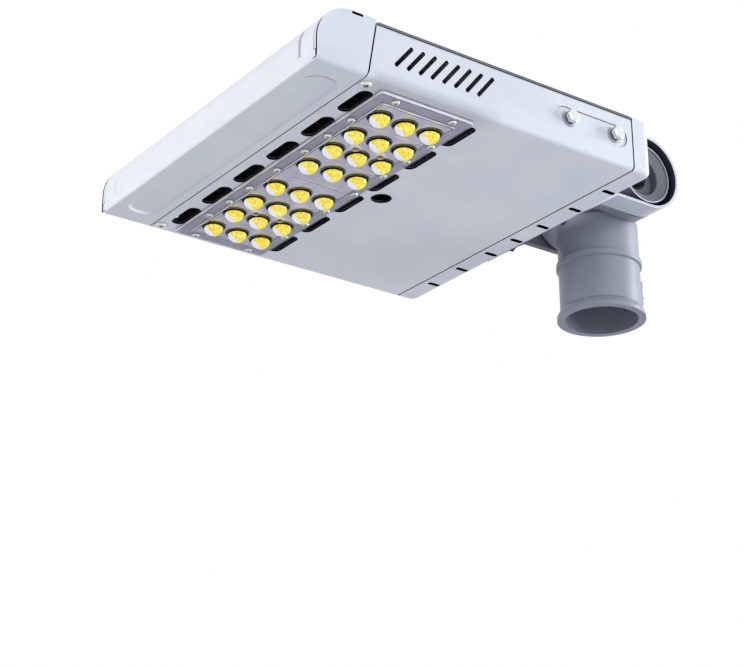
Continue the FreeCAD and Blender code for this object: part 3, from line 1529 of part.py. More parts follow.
def export():
    doc.recompute()
    for item in doc.Objects:
        if "Invalid" in item.State or "Error" in item.State:
            raise RuntimeError(f"{item.Label} did not rebuild: {item.State}")
    os.makedirs("parts", exist_ok=True)
    for node in NODES:
        shape = doc.getObjectsByLabel(node)[0].Shape
        if shape.isNull() or not shape.isValid():
            raise RuntimeError(f"{node} has no sound shape")
        shape.exportStep(f"parts/{node}.step")


build()
export()
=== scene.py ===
import json
import math

import bmesh
import bpy
from mathutils import Matrix, Vector


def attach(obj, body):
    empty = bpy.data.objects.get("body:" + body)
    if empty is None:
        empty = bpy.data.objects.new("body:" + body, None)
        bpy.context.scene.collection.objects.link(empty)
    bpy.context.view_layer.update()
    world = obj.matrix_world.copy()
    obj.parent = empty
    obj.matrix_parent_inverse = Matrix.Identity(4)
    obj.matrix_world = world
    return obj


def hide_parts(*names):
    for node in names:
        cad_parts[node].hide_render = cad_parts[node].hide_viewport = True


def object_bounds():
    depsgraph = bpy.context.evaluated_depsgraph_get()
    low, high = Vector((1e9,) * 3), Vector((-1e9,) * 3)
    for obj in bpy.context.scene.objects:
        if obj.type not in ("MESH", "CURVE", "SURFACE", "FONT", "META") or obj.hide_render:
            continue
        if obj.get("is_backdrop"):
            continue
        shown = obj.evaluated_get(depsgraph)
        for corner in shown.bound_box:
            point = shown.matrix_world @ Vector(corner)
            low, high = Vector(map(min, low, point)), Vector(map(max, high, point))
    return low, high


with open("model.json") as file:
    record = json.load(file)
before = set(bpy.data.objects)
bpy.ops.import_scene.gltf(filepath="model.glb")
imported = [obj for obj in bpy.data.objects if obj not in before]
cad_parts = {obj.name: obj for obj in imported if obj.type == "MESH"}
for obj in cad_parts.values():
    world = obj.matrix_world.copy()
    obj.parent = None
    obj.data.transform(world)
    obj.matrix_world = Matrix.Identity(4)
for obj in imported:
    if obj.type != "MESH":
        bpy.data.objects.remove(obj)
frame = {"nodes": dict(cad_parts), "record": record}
cad_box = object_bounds()
nodes = frame["nodes"]


# Shader maths


class Wire:
    """One socket that Python arithmetic can be done on."""

    def __init__(self, finish, socket):
        self.finish = finish
        self.socket = socket

    def maths(self, operation, *values):
        return self.finish.node("ShaderNodeMath", {"operation": operation}, dict(enumerate(values)))

    def __add__(self, other):
        return self.maths("ADD", self, other)

    def __sub__(self, other):
        return self.maths("SUBTRACT", self, other)

    def __mul__(self, other):
        return self.maths("MULTIPLY", self, other)

    def __truediv__(self, other):
        return self.maths("DIVIDE", self, other)

    def __pow__(self, other):
        return self.maths("POWER", self, other)

    def __rsub__(self, other):
        return self.maths("SUBTRACT", other, self)

    __radd__ = __add__
    __rmul__ = __mul__

    def __neg__(self):
        return self.maths("SUBTRACT", 0, self)

    def __abs__(self):
        return self.maths("ABSOLUTE", self)

    def __round__(self):
        return self.maths("ROUND", self)

    def least(self, other):
        return self.maths("MINIMUM", self, other)

    def most(self, other):
        return self.maths("MAXIMUM", self, other)

    def step(self, low, high):
        """Nought below low, one above high and smooth between them."""
        settings = {"interpolation_type": "SMOOTHSTEP"}
        values = {"Value": self, "From Min": low, "From Max": high}
        return self.finish.node("ShaderNodeMapRange", settings, values)


class Finish:
    """A material under construction."""

    def __init__(self, name):
        self.material = bpy.data.materials.new(name)
        self.material.use_nodes = True
        self.tree = self.material.node_tree
        self.shader = next(n for n in self.tree.nodes if n.type == "BSDF_PRINCIPLED")
        self.surface = Wire(self, self.shader.outputs[0])

    def node(self, kind, settings=None, values=None, out=0):
        made = self.tree.nodes.new(kind)
        for name, value in (settings or {}).items():
            setattr(made, name, value)
        for name, value in (values or {}).items():
            self.feed(made.inputs[name], value)
        return Wire(self, made.outputs[out])

    def feed(self, socket, value):
        if isinstance(value, Wire):
            self.tree.links.new(value.socket, socket)
        elif isinstance(value, tuple) and len(value) == 3 and socket.type == "RGBA":
            socket.default_value = (*value, 1.0)
        else:
            socket.default_value = value

    def spot(self):
        """The place on the part, in metres."""
        return self.node("ShaderNodeTexCoord", out="Object")

    def split(self, vector):
        made = self.node("ShaderNodeSeparateXYZ", None, {"Vector": vector})
        outputs = made.socket.node.outputs
        return Wire(self, outputs["X"]), Wire(self, outputs["Y"]), Wire(self, outputs["Z"])

    def axes(self):
        return self.split(self.spot())

    def facing(self):
        """Which way the surface looks, on the part's own axes."""
        return self.split(self.node("ShaderNodeTexCoord", out="Normal"))

    def noise(self, scale, detail=3.0, roughness=0.5, place=None):
        values = {"Vector": place or self.spot(), "Scale": scale, "Detail": detail, "Roughness": roughness}
        return self.node("ShaderNodeTexNoise", None, values)

    def stretched(self, sx, sy, sz):
        settings = {"operation": "MULTIPLY"}
        return self.node("ShaderNodeVectorMath", settings, {0: self.spot(), 1: (sx, sy, sz)})

    def blend(self, amount, first, second):
        made = self.tree.nodes.new("ShaderNodeMix")
        made.data_type = "RGBA"
        self.feed(made.inputs[0], amount)
        self.feed(made.inputs[6], first)
        self.feed(made.inputs[7], second)
        return Wire(self, made.outputs[2])

    def open_air(self, distance):
        """One in the open, less in seams and corners."""
        values = {"Distance": distance}
        return self.node("ShaderNodeAmbientOcclusion", {"samples": 6}, values, out="AO")

    def bump(self, height, strength, distance):
        values = {"Height": height, "Strength": strength, "Distance": distance}
        self.feed(self.shader.inputs["Normal"], self.node("ShaderNodeBump", None, values))

    def mixed(self, amount, first, second):
        return self.node("ShaderNodeMixShader", None, {0: amount, 1: first, 2: second})

    def matt(self, colour):
        """A matt layer of one colour."""
        return self.node("ShaderNodeBsdfDiffuse", None, {"Color": colour})

    def glowing(self, colour):
        """A matt layer of one colour that mostly shines by itself."""
        shine = self.node("ShaderNodeEmission", None, {"Color": colour, "Strength": 1.0})
        return self.mixed(0.8, self.matt(colour), shine)

    def cover(self, amount, layer):
        """Lays another shader over this one."""
        self.surface = self.mixed(amount, self.surface, layer)
        output = next(n for n in self.tree.nodes if n.type == "OUTPUT_MATERIAL")
        self.feed(output.inputs["Surface"], self.surface)

    def let_light_through(self, share):
        """Clear stuff that shades what is behind it only a little."""
        path = self.node("ShaderNodeLightPath", out="Is Shadow Ray")
        clear = self.node("ShaderNodeBsdfTransparent", None, {"Color": (share, share, share)})
        self.cover(path, clear)

    def set(self, **values):
        for name, value in values.items():
            self.feed(self.shader.inputs[name.replace("_", " ")], value)
        return self.material


def tone(r, g, b):
    """A colour given as it looks on a screen, from 0 to 255, as light."""
    parts = (r / 255, g / 255, b / 255)
    return tuple(c / 12.92 if c <= 0.04045 else ((c + 0.055) / 1.055) ** 2.4 for c in parts)


def dimmed(colour, share):
    return tuple(c * share for c in colour)


# Places on the part, in metres


def furthest(node, axis, pick=max):
    """How far a CAD node reaches along one axis."""
    return pick(vertex.co[axis] for vertex in nodes[node].data.vertices)


X, Y, Z = range(3)
HAIR = 0.0001
SHEET = 0.0020
UNDERSIDE = furthest("main_shell", Z, min)
SIDE = furthest("main_shell", Y)
FRONT = furthest("front_visor", X)
CAP_SEAM = FRONT - 0.0449
PANEL_CORNER = 0.0120
DRAIN_MIDDLE = furthest("rear_cap", X, min) + 0.0097
DRAIN_ROWS = (0.0, 0.0349, 0.0761, 0.1173)
DRAIN_STRAIGHT = 0.0041
DRAIN_RADIUS = 0.0022

MODULE_MIDDLE = 0.3065
COLUMN_PITCH = 0.0236
ROWS = (0.0234, 0.05645, 0.08595, 0.1190)
FIELD_FACE = furthest("lens_plate", Z) - 0.0040
DOME_CENTRE = 0.04865
HOLLOW = 0.0060
DARK_RING_RADIUS = 0.0104
DARK_RING_LEVEL = FIELD_FACE + 0.0003

PIVOT_HEIGHT = frame["record"]["behaviour"]["joints"][0]["pos_m"][Z]
CUP_WALL = 0.0320
CUP_FLOOR = 0.0505
RING_WALL = 0.0278
RING_FACE = 0.0657
FAR_EAR = -0.0300


def within(wire, low, high):
    """One between two levels and nought outside them."""
    return wire.step(low, low + HAIR) * (1 - wire.step(high - HAIR, high))


def distance(along, across):
    """How far two offsets at a right angle reach together."""
    return (along * along + across * across) ** 0.5


def at_chin(x, y):
    """One where the visor's lower edge meets the front cap, away from the cheeks."""
    return x.step(FRONT - 0.014, FRONT - 0.012) * (1 - abs(y).step(SIDE - 0.006, SIDE - 0.005))


def soft_seam(x, z):
    """One at the front cap's seam where it crosses the underside, where the painted seam shade is kept
    grey instead of black.
    """
    near = within(x, CAP_SEAM - 0.003, CAP_SEAM + 0.003)
    return near * (1 - z.step(UNDERSIDE + 0.002, UNDERSIDE + 0.005))


def cut_edges(f):
    """Painted shadow on the cut edges of the folded sheets, underneath and at the sides."""
    x, y, z = f.axes()
    ny, nz = f.facing()[Y:]
    under = within(z, UNDERSIDE + HAIR, UNDERSIDE + SHEET - HAIR) * (1 - abs(nz).step(0.3, 0.4))
    beside = within(abs(y), SIDE - SHEET + HAIR, SIDE - HAIR) * (1 - abs(ny).step(0.3, 0.4))
    return (under * (1 - at_chin(x, y))).most(beside * (1 - nz.step(0.5, 0.6)))


def drain_edges(f):
    """Painted shadow on the cut edges of the rear cap, and a painted shadow rim round each drain slot."""
    x, y, z = f.axes()
    across = abs(y)
    for row in DRAIN_ROWS[1:]:
        across = across.least(abs(abs(y) - row))
    along = (abs(x - DRAIN_MIDDLE) - DRAIN_STRAIGHT).most(0)
    rim = 1 - distance(along, across).step(DRAIN_RADIUS, DRAIN_RADIUS + 0.0003)
    return cut_edges(f).most(rim * (1 - z.step(UNDERSIDE + 0.003, UNDERSIDE + 0.004)))


def visor_ends(f):
    """Painted shadow on the visor's own ends, beside the cheeks."""
    y = f.axes()[Y]
    ny = f.facing()[Y]
    return abs(ny).step(0.3, 0.4) * abs(y).step(SIDE - 0.0080, SIDE - 0.0075)


def panel_ends(f):
    """The soft shade on the sloping end of the panel pressed into the visor's face."""
    x, y, z = f.axes()
    inward = SIDE - y
    height = z - UNDERSIDE
    band = inward.step(0.0205, 0.0225) * (1 - inward.step(0.0250, 0.0270))
    length = height.step(0.0085, 0.0125) * (1 - height.step(0.0330, 0.0350))
    return band * length * x.step(FRONT - 0.006, FRONT - 0.004)


def beside_module(f):
    """The soft shade on the underside between the light module and the bend to the visible side."""
    x, y, z = f.axes()
    past_rear = x.step(MODULE_MIDDLE - 0.0700, MODULE_MIDDLE - 0.0350)
    before_seam = 1 - x.step(CAP_SEAM - 0.0120, CAP_SEAM - 0.0020)
    low = 1 - z.step(UNDERSIDE + 0.0020, UNDERSIDE + 0.0090)
    return y.step(SIDE - 0.0260, SIDE - 0.0160) * low * past_rear * before_seam * 0.42


def cover_edge(f):
    """Painted shadow on the narrow edge of the top cover over each side wall."""
    return abs(f.facing()[Y]).step(0.5, 0.7) * 0.9


def underside_panel(f):
    """Soft painted shade round the +y corners, and a soft painted highlight round the −y corners, of the
    shallow panel pressed into the front cap's underside.
    """
    x, y, z = f.axes()
    rear = CAP_SEAM + 0.0073
    front = FRONT - 0.0100
    along = (abs(x - (rear + front) / 2) - ((front - rear) / 2 - PANEL_CORNER)).most(0)
    across = (abs(y) - (SIDE - 0.0210 - PANEL_CORNER)).most(0)
    outline = distance(along, across) - PANEL_CORNER
    band = 1 - abs(outline + 0.0004).step(0.0006, 0.0022)
    corner = across.step(0.0010, 0.0060) * (x - rear).step(0.0020, 0.0120)
    return band * corner * (1 - z.step(UNDERSIDE + 0.0025, UNDERSIDE + 0.0030))


def beside_dome(f):
    """How far a place is from the axis of the nearest dome."""
    x, y = f.axes()[:Z]
    along = abs(x - MODULE_MIDDLE)
    along = along.least(abs(along - COLUMN_PITCH))
    across = abs(abs(y) - ROWS[0])
    for row in ROWS[1:]:
        across = across.least(abs(abs(y) - row))
    return distance(along, across)


def cup_shadow(f):
    """Painted shadow in the arm's cup, black in the channel round the ring and grey inside it, and painted
    shade on the far ear.
    """
    x, y, z = f.axes()
    ny, nz = f.facing()[Y:]
    away = distance(x, z - PIVOT_HEIGHT)
    inside = (1 - away.step(CUP_WALL, CUP_WALL + 0.0002)) * y.step(CUP_FLOOR, CUP_FLOOR + 0.0005)
    channel = away.step(RING_WALL, RING_WALL + 0.0002)
    face = y.step(RING_FACE, RING_FACE + HAIR)
    cup = inside * (channel * 0.93 + (1 - channel) * (1 - face) * 0.6)
    far_ear = (1 - y.step(FAR_EAR - 0.0040, FAR_EAR)) * ny.step(0.3, 0.6).most((-nz).step(0.3, 0.6))
    return cup.most(far_ear * 0.62)


# Finishes

BLACK = tone(2, 2, 4)
SHADE = tone(30, 33, 42)
COAT_LIGHT = tone(210, 215, 225)
COAT_DARK = tone(200, 206, 218)
COAT_HIGHLIGHT = tone(246, 248, 252)


def powder_coat(name, shadow=None, shade=None):
    """Satin powder coat: a faint mottle, a fine sparkle grain and an orange-peel bump, with painted shade
    in seams and corners, any painted shadow given, and painted light and shade where a shade mask is
    given.
    """
    f = Finish(name)
    x, y, z = f.axes()
    mottle = f.noise(22, 4).step(0.35, 0.65)
    speck = f.noise(1400, 2, 0.6)
    colour = f.blend(mottle * 0.5 + speck * 0.5, COAT_DARK, COAT_LIGHT)
    # Painted light and shade: where a shade mask is given, a painted highlight on the −y side and painted
    # shade on the +y side.
    if shade:
        painted_light_and_shade = f.blend(y.step(-HAIR, HAIR), COAT_HIGHLIGHT, dimmed(COAT_DARK, 0.5))
        colour = f.blend(shade(f), colour, painted_light_and_shade)
    wear = f.noise(90, 5, 0.6).step(0.45, 0.7)
    rough = 0.36 + wear * 0.07 + speck * 0.05
    f.bump(f.noise(900, 2) + speck * 0.3, 0.22, 0.0002)
    f.set(Base_Color=colour, Roughness=rough, Coat_Weight=0.12, Coat_Roughness=0.25)
    # Painted shade: black in seams and corners, weaker on faces that look down and none at the chin, with
    # any painted shadow added.
    below = (-f.facing()[Z]).step(0.8, 0.9) * 0.45
    painted_seam_shade = (1 - f.open_air(0.0020).step(0.3, 0.86)) * (1 - below) * (1 - at_chin(x, y))
    if shadow:
        painted_seam_shade = painted_seam_shade.most(shadow(f))
    f.cover(painted_seam_shade * (1 - soft_seam(x, z) * 0.85), f.matt(BLACK))
    return f.material


def cast_coat(name, light, dark, shadow=None):
    """Powder coat over a rough casting: coarser pits, and painted shade in the corners."""
    f = Finish(name)
    pits = f.noise(420, 4, 0.65)
    broad = f.noise(28, 4).step(0.3, 0.7)
    colour = f.blend(broad * 0.6 + pits * 0.4, dark, light)
    # Painted shade: darker in corners and hollows.
    colour = f.blend(f.open_air(0.012).step(0.05, 0.9), dimmed(dark, 0.35), colour)
    f.bump(pits, 0.3, 0.0003)
    f.set(Base_Color=colour, Roughness=0.42 + pits * 0.15, Coat_Weight=0.1, Coat_Roughness=0.3)
    if shadow:
        f.cover(shadow(f), f.matt(SHADE))
    return f.material


def steel(name, light, dark, rough):
    """Stainless fasteners: turned faces with fine scratches."""
    f = Finish(name)
    scratch = f.noise(2600, 3, 0.6, f.stretched(1, 0.08, 1))
    grime = f.noise(260, 4).step(0.5, 0.75)
    # Painted shade: darker in the corners round each fastener.
    unshaded = f.open_air(0.003).step(0.1, 0.9)
    colour = f.blend(unshaded, dimmed(dark, 0.3), f.blend(scratch, dark, light))
    f.bump(scratch, 0.06, 0.0001)
    return f.set(Base_Color=colour, Metallic=0.85, Roughness=rough + grime * 0.1 + scratch * 0.05)


def vent_shade_casting():
    # Nearly black fins: painted shade inside the housing, seen through the vents.
    f = Finish("shaded_dark_fins")
    grain = f.noise(500, 4, 0.6)
    colour = f.blend(grain, tone(8, 8, 10), tone(24, 25, 29))
    f.bump(grain, 0.4, 0.0003)
    return f.set(Base_Color=colour, Metallic=0.3, Roughness=0.5 + grain * 0.2)


def shaded_steel_sheet():
    # Spangled sheet in nearly black tones: painted shade inside the housing, seen through the slots.
    f = Finish("shaded_spangled_sheet")
    spangle = f.node("ShaderNodeTexVoronoi", None, {"Vector": f.spot(), "Scale": 130.0}, out="Color")
    grey = f.node("ShaderNodeSeparateColor", None, {"Color": spangle})
    colour = f.blend(grey, tone(16, 17, 19), tone(32, 33, 37))
    f.bump(grey, 0.05, 0.0001)
    return f.set(Base_Color=colour, Metallic=0.4, Roughness=0.45 + grey * 0.2)


def hollow_glow(f, x, y, drop):
    """What a dome's hollow shows, painted on its wall: the phosphor as a speckled yellow painted glow with
    painted white glints, a pale patch of painted reflection on one side and black round the foot as
    painted dark reflection.
    """
    column = (x - MODULE_MIDDLE) / COLUMN_PITCH
    forward = (column - round(column)) * COLUMN_PITCH
    outward = 0
    for row in ROWS:
        gap = abs(y) - row
        outward += gap * (1 - abs(gap).step(0.0100, 0.0105))
    sideways = outward * (y.step(-HAIR, HAIR) * 2 - 1)
    far_side = forward * 0.42 - sideways * 0.62 - drop * 0.65
    # Painted glow in two yellows, painted white glints, a painted reflection on the far side and a painted
    # dark reflection at the foot.
    speckle_and_glints = f.noise(620, 3, 0.65)
    glow = f.mixed(speckle_and_glints.step(0.34, 0.5), f.glowing(tone(242, 194, 8)), f.glowing(tone(255, 238, 62)))
    glow = f.mixed(speckle_and_glints.step(0.56, 0.62), glow, f.glowing(tone(255, 254, 214)))
    glow = f.mixed(far_side.step(HOLLOW * 0.70, HOLLOW * 0.74), glow, f.glowing(tone(240, 240, 246)))
    return f.mixed(drop.step(-0.0015, -0.0011), glow, f.glowing(BLACK))


def lens_plastic():
    """Clear optical moulding, slightly lilac, with a painted highlight on its upright edges, painted glow
    and reflections on each dome's hollow and a painted dark reflection ring at each dome's foot.
    """
    f = Finish("clear_lens_moulding")
    haze = f.noise(60, 3)
    colour = f.blend(haze, tone(243, 242, 250), tone(254, 254, 255))
    f.bump(f.noise(300, 2), 0.03, 0.0001)
    f.set(Base_Color=colour, Roughness=0.03 + haze * 0.05, Transmission_Weight=1.0, IOR=1.49)
    x, y, z = f.axes()
    aside = beside_dome(f)
    off_domes = z.step(FIELD_FACE - HAIR, FIELD_FACE).most(aside.step(0.0097, 0.0099))
    # Painted highlight on the upright edges.
    upright = (1 - abs(f.facing()[Z]).step(0.4, 0.85)) * off_domes
    f.cover(upright * (0.6 + haze * 0.35), f.matt(tone(244, 243, 250)))
    drop = z - DOME_CENTRE
    # Painted glow and reflections on each dome's hollow wall.
    hollow = 1 - distance(aside, drop).step(HOLLOW + 0.0001, HOLLOW + 0.0002)
    f.cover(hollow * 0.97, hollow_glow(f, x, y, drop))
    # Painted dark reflection: a black ring round each dome's foot.
    foot = aside.step(0.0080, 0.0082) * (1 - aside.step(0.0094, 0.0096))
    foot = foot * within(z, FIELD_FACE - 0.0009, FIELD_FACE + 0.0001)
    f.cover(foot * 0.9, f.matt(BLACK))
    f.let_light_through(0.96)
    return f.material


def silicone():
    f = Finish("grey_silicone")
    dust = f.noise(700, 4, 0.7)
    colour = f.blend(dust.step(0.45, 0.7), tone(168, 168, 190), tone(188, 188, 208))
    f.bump(dust, 0.2, 0.0001)
    return f.set(Base_Color=colour, Roughness=0.6 + dust * 0.2)


def solder_mask():
    """White solder mask with faint traces, and a black ring round every emitter as painted dark
    reflection.
    """
    f = Finish("white_solder_mask")
    grain = f.noise(900, 3)
    traces = f.noise(120, 2, 0.5, f.stretched(1, 0.12, 1)).step(0.47, 0.53)
    colour = f.blend(grain, tone(219, 220, 243), tone(240, 240, 255))
    colour = f.blend(traces * 0.3, colour, tone(186, 187, 206))
    # Painted dark reflection: a black ring round every emitter.
    dark_reflection_ring = 1 - beside_dome(f).step(DARK_RING_RADIUS, DARK_RING_RADIUS + 0.0003)
    colour = f.blend(dark_reflection_ring, colour, BLACK)
    f.bump(grain + traces * 0.4, 0.1, 0.0001)
    return f.set(Base_Color=colour, Roughness=0.45 + grain * 0.1)


def phosphor():
    """Yellow phosphor with deeper patches and paler patches of painted glint, black at its foot as painted
    dark reflection, and an emission that is painted glow.
    """
    f = Finish("yellow_phosphor")
    grain = f.noise(1800, 3)
    patches_and_glints = f.noise(420, 3, 0.6)
    colour = f.blend(patches_and_glints.step(0.42, 0.58), tone(246, 196, 0), tone(255, 236, 20))
    # Painted glints on the paler patches.
    colour = f.blend(patches_and_glints.step(0.6, 0.68) * 0.6, colour, tone(255, 252, 180))
    z = f.axes()[Z]
    # Painted dark reflection: black below the ring's level.
    colour = f.blend(z.step(DARK_RING_LEVEL - HAIR, DARK_RING_LEVEL), colour, tone(8, 8, 10))
    f.bump(grain, 0.2, 0.0001)
    # Painted glow: the emitter shines by itself.
    f.set(Emission_Color=colour, Emission_Strength=0.8)
    return f.set(Base_Color=colour, Roughness=0.35 + grain * 0.15)


def moulded(name, colour):
    f = Finish(name)
    grain = f.noise(800, 3)
    mix = f.blend(grain, dimmed(colour, 0.8), colour)
    f.bump(grain, 0.15, 0.0001)
    return f.set(Base_Color=mix, Roughness=0.5 + grain * 0.15)


def extrusion():
    f = Finish("driver_extrusion")
    lines = f.noise(900, 2, 0.5, f.stretched(1, 0.02, 1))
    colour = f.blend(lines, tone(150, 153, 158), tone(182, 185, 190))
    f.bump(lines, 0.1, 0.0001)
    return f.set(Base_Color=colour, Metallic=1.0, Roughness=0.35 + lines * 0.15)


FINISHES = {
    "housing": powder_coat("pale_powder_coat"),
    "casting": cast_coat("arm_coat", tone(186, 191, 204), tone(172, 177, 190), cup_shadow),
    "lens": lens_plastic(),
    "seal": silicone(),
    "board": solder_mask(),
    "emitter": phosphor(),
    "sink": vent_shade_casting(),
    "frame_steel": shaded_steel_sheet(),
    "driver_case": extrusion(),
    "block": moulded("dark_moulding", tone(70, 72, 78)),
    "screw": steel("bright_screws", tone(246, 246, 248), tone(220, 221, 225), 0.3),
    "bolt": steel("stainless_fasteners", tone(240, 240, 243), tone(208, 210, 215), 0.26),
    # Dark steel as painted shade: the pivot parts deep in the cup.
    "pivot": steel("shaded_dark_steel", tone(62, 63, 68), tone(34, 35, 39), 0.32),
    "friction": moulded("bonded_fibre", tone(52, 52, 55)),
}
OWN_FINISHES = {
    "main_shell": powder_coat("coated_shell", cut_edges, beside_module),
    "top_cover": powder_coat("coated_cover", cover_edge),
    "front_cap": powder_coat("coated_front_cap", cut_edges, underside_panel),
    "front_visor": powder_coat("coated_visor", visor_ends, panel_ends),
    "rear_cap": powder_coat("coated_rear_cap", drain_edges),
    # The spring washers are darker than the other steel: painted shade under the bolt heads.
    "side_spring_washers": steel("shaded_spring_steel", tone(128, 131, 139), tone(88, 91, 100), 0.32),
    # The arm bolts take the dark steel as painted shade under the rear cap.
    "arm_bolts": FINISHES["pivot"],
    # The spigot's coat is a darker copy of the arm's casting coat: painted shade.
    "spigot": cast_coat("spigot_coat", tone(134, 139, 154), tone(122, 127, 142)),
}
for part in frame["record"]["subparts"]:
    for slot in nodes[part["node"]].material_slots:
        slot.material = OWN_FINISHES.get(part["node"], FINISHES[part["material_slot"]])


# Added pieces


def put(name, data):
    """Adds an object to the scene."""
    made = bpy.data.objects.new(name, data)
    bpy.context.scene.collection.objects.link(made)
    return made


def put_on_head(name, data, node):
    """Adds a piece that rides on the head in place of a CAD node."""
    piece = put(name, data)
    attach(piece, "head")
    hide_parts(node)


# Pan heads with a cross recess, in place of the plain ones

HEAD_SPOKES = 48
HEAD_RINGS = 14
HEAD_EDGE = 0.35
RECESS_WIDTH = 0.16
RECESS_REACH = 0.56
RECESS_DEPTH = 0.62
SHANK_SIDES = 24
SAME_SCREW = 0.012
TURN_EACH = 0.9
UP = 1
DOWN = -1


def screw_places(node):
    """The corner-to-corner box of every screw in a node."""
    groups = []
    for vertex in nodes[node].data.vertices:
        at = nodes[node].matrix_world @ vertex.co
        for group in groups:
            if (group[0].xy - at.xy).length < SAME_SCREW:
                group.append(at)
                break
        else:
            groups.append([at])
    places = []
    for group in groups:
        low = Vector([min(at[k] for at in group) for k in range(3)])
        high = Vector([max(at[k] for at in group) for k in range(3)])
        places.append((low, high))
    return places


def head_profile():
    """The head's outline from its seat inward: share of the radius, share of the height."""
    profile = [(1.0, 0.0)]
    for n in range(HEAD_RINGS):
        share = 1 - n / HEAD_RINGS
        crown = math.sqrt(1 - share ** 2) ** 0.8
        profile.append((share, HEAD_EDGE + (1 - HEAD_EDGE) * crown))
    return profile


def add_pan_head(mesh, middle, seat, way, radius, rise, turn):
    """One domed head: a short straight edge, a dome and a cross pressed into it."""
    loops = []
    for share, level in head_profile():
        loop = []
        for k in range(HEAD_SPOKES):
            angle = 2 * math.pi * k / HEAD_SPOKES
            beside_wing = share * min(abs(math.cos(angle)), abs(math.sin(angle)))
            height = rise * level
            if beside_wing < RECESS_WIDTH and share < RECESS_REACH:
                height -= rise * RECESS_DEPTH
            x = middle.x + radius * share * math.cos(angle + turn)
            y = middle.y + radius * share * math.sin(angle + turn)
            loop.append(mesh.verts.new((x, y, seat + way * height)))
        loops.append(loop)
    for outer, inner in zip(loops, loops[1:]):
        for k in range(HEAD_SPOKES):
            after = (k + 1) % HEAD_SPOKES
            corners = [outer[k], outer[after], inner[after], inner[k]]
            mesh.faces.new(corners[::way])
    mesh.faces.new(loops[-1][::way])


def add_shank(mesh, middle, start, end, radius):
    ends = []
    for z in (start, end):
        loop = []
        for k in range(SHANK_SIDES):
            angle = 2 * math.pi * k / SHANK_SIDES
            x = middle.x + radius * math.cos(angle)
            y = middle.y + radius * math.sin(angle)
            loop.append(mesh.verts.new((x, y, z)))
        ends.append(loop)
    first, second = ends
    for k in range(SHANK_SIDES):
        after = (k + 1) % SHANK_SIDES
        mesh.faces.new([first[k], first[after], second[after], second[k]])


def add_cross_screws(name, node, way, head_radius, rise, shank):
    mesh = bmesh.new()
    for n, (low, high) in enumerate(screw_places(node)):
        middle = (low + high) / 2
        crown, foot = (low.z, high.z) if way == DOWN else (high.z, low.z)
        seat = crown - way * rise
        add_pan_head(mesh, middle, seat, way, head_radius, rise, TURN_EACH * n)
        add_shank(mesh, middle, seat, foot, shank)
    bmesh.ops.recalc_face_normals(mesh, faces=mesh.faces)
    data = bpy.data.meshes.new(name)
    mesh.to_mesh(data)
    mesh.free()
    data.materials.append(FINISHES["screw"])
    put_on_head(name, data, node)


add_cross_screws("lens_cross_screws", "lens_screws", DOWN, 0.0031, 0.0015, 0.0015)
add_cross_screws("cap_cross_screws", "cap_screws", DOWN, 0.0046, 0.0024, 0.0025)
add_cross_screws("cover_cross_screws", "cover_screws", UP, 0.0036, 0.0022, 0.0020)


# The gasket, drawn back a hair from the clear plate so that light reaches its face

GASKET_GAP = 0.00006


def add_gasket():
    data = nodes["lens_gasket"].data.copy()
    low = min(vertex.co.z for vertex in data.vertices)
    for vertex in data.vertices:
        if vertex.co.z < low + GASKET_GAP:
            vertex.co.z += GASKET_GAP
    put_on_head("silicone_gasket", data, "lens_gasket")


add_gasket()


# Camera at the photograph's place

EYE = (1.07249, 1.12806, -0.62543)
CAMERA_RIGHT = Vector((-0.80953, 0.58706, -0.00483))
CAMERA_UP = Vector((0.21360, 0.30218, 0.92901))
CAMERA_BACK = Vector((0.54684, 0.75103, -0.37002))
FOCAL_PIXELS = 1880.9
FRAME_WIDTH = 745
SENSOR = 36


def add_camera():
    lens = bpy.data.cameras.new("photo_camera")
    lens.sensor_fit = "HORIZONTAL"
    lens.sensor_width = SENSOR
    lens.lens = SENSOR * FOCAL_PIXELS / FRAME_WIDTH
    lens.clip_end = 50
    turn = Matrix((CAMERA_RIGHT, CAMERA_UP, CAMERA_BACK)).transposed().to_4x4()
    camera = put("photo_camera", lens)
    camera.matrix_world = Matrix.Translation(EYE) @ turn
    bpy.context.scene.camera = camera


add_camera()


# Studio

AMBIENT = 0.36
FLOOR_REACH = 4.0
FLOOR_LEVEL = -1.15
LIT_CENTRE = (0.21, 0.0, 0.08)


def add_panel(name, place, width, height, power, colour=(1, 1, 1)):
    """A soft rectangular lamp that looks at the object."""
    lamp = bpy.data.lights.new(name, "AREA")
    lamp.shape = "RECTANGLE"
    lamp.size = width
    lamp.size_y = height
    lamp.energy = power
    lamp.color = colour
    panel = put(name, lamp)
    panel.location = place
    aim = Vector(LIT_CENTRE) - Vector(place)
    panel.rotation_euler = aim.to_track_quat("-Z", "Y").to_euler()


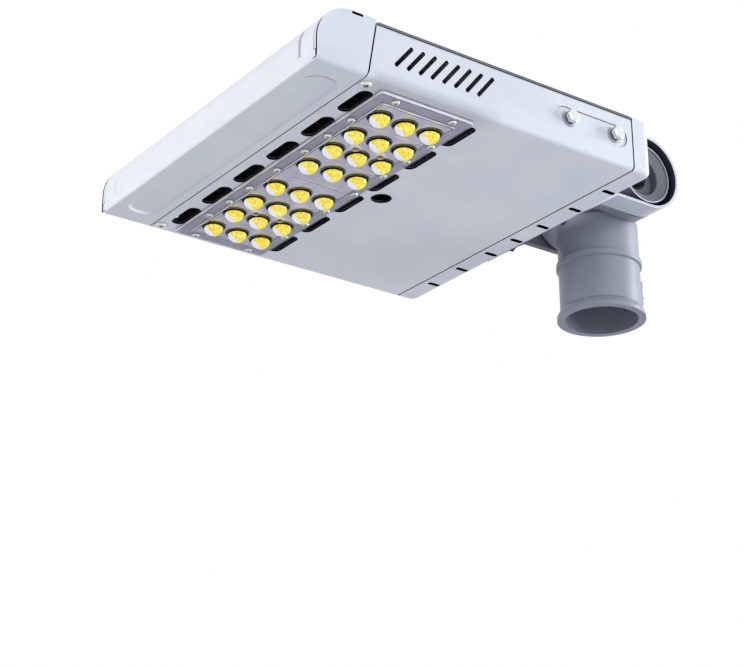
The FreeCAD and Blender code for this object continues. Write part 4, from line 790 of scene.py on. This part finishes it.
def light_world():
    """Pale light all round; the camera, gloss and glass see a plain white backdrop instead."""
    world = bpy.data.worlds.new("studio")
    bpy.context.scene.world = world
    world.use_nodes = True
    tree = world.node_tree
    ambient = tree.nodes["Background"]
    ambient.inputs["Color"].default_value = (0.93, 0.96, 1.0, 1)
    ambient.inputs["Strength"].default_value = AMBIENT
    white = tree.nodes.new("ShaderNodeBackground")
    white.inputs["Color"].default_value = (1, 0.995, 0.998, 1)
    path = tree.nodes.new("ShaderNodeLightPath")
    seen = path.outputs["Is Camera Ray"]
    for ray in ("Is Glossy Ray", "Is Transmission Ray"):
        either = tree.nodes.new("ShaderNodeMath")
        either.operation = "MAXIMUM"
        tree.links.new(seen, either.inputs[0])
        tree.links.new(path.outputs[ray], either.inputs[1])
        seen = either.outputs[0]
    mix = tree.nodes.new("ShaderNodeMixShader")
    tree.links.new(seen, mix.inputs[0])
    tree.links.new(ambient.outputs[0], mix.inputs[1])
    tree.links.new(white.outputs[0], mix.inputs[2])
    tree.links.new(mix.outputs[0], tree.nodes["World Output"].inputs[0])


def lay_floor():
    mesh = bpy.data.meshes.new("floor")
    ways = ((-1, -1), (1, -1), (1, 1), (-1, 1))
    corners = [(FLOOR_REACH * x, FLOOR_REACH * y, FLOOR_LEVEL) for x, y in ways]
    mesh.from_pydata(corners, [], [(0, 1, 2, 3)])
    floor = put("floor", mesh)
    f = Finish("studio_floor")
    grain = f.noise(3, 3)
    f.set(Base_Color=f.blend(grain, (0.91, 0.91, 0.92), (0.94, 0.94, 0.95)), Roughness=0.7)
    mesh.materials.append(f.material)
    floor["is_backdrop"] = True


light_world()
lay_floor()
add_panel("key_side", (0.4, 1.9, 0.35), 1.4, 1.2, 15.5)
add_panel("front_fill", (1.9, -0.5, 0.4), 1.2, 1.0, 25, (1.0, 0.98, 0.95))
add_panel("rim_right", (-1.3, 0.7, 0.1), 0.5, 1.2, 26)

view = bpy.context.scene.view_settings
view.view_transform = "Standard"

visual_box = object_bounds()
({"cad": [list(map(float, corner)) for corner in cad_box],
           "visual": [list(map(float, corner)) for corner in visual_box]})
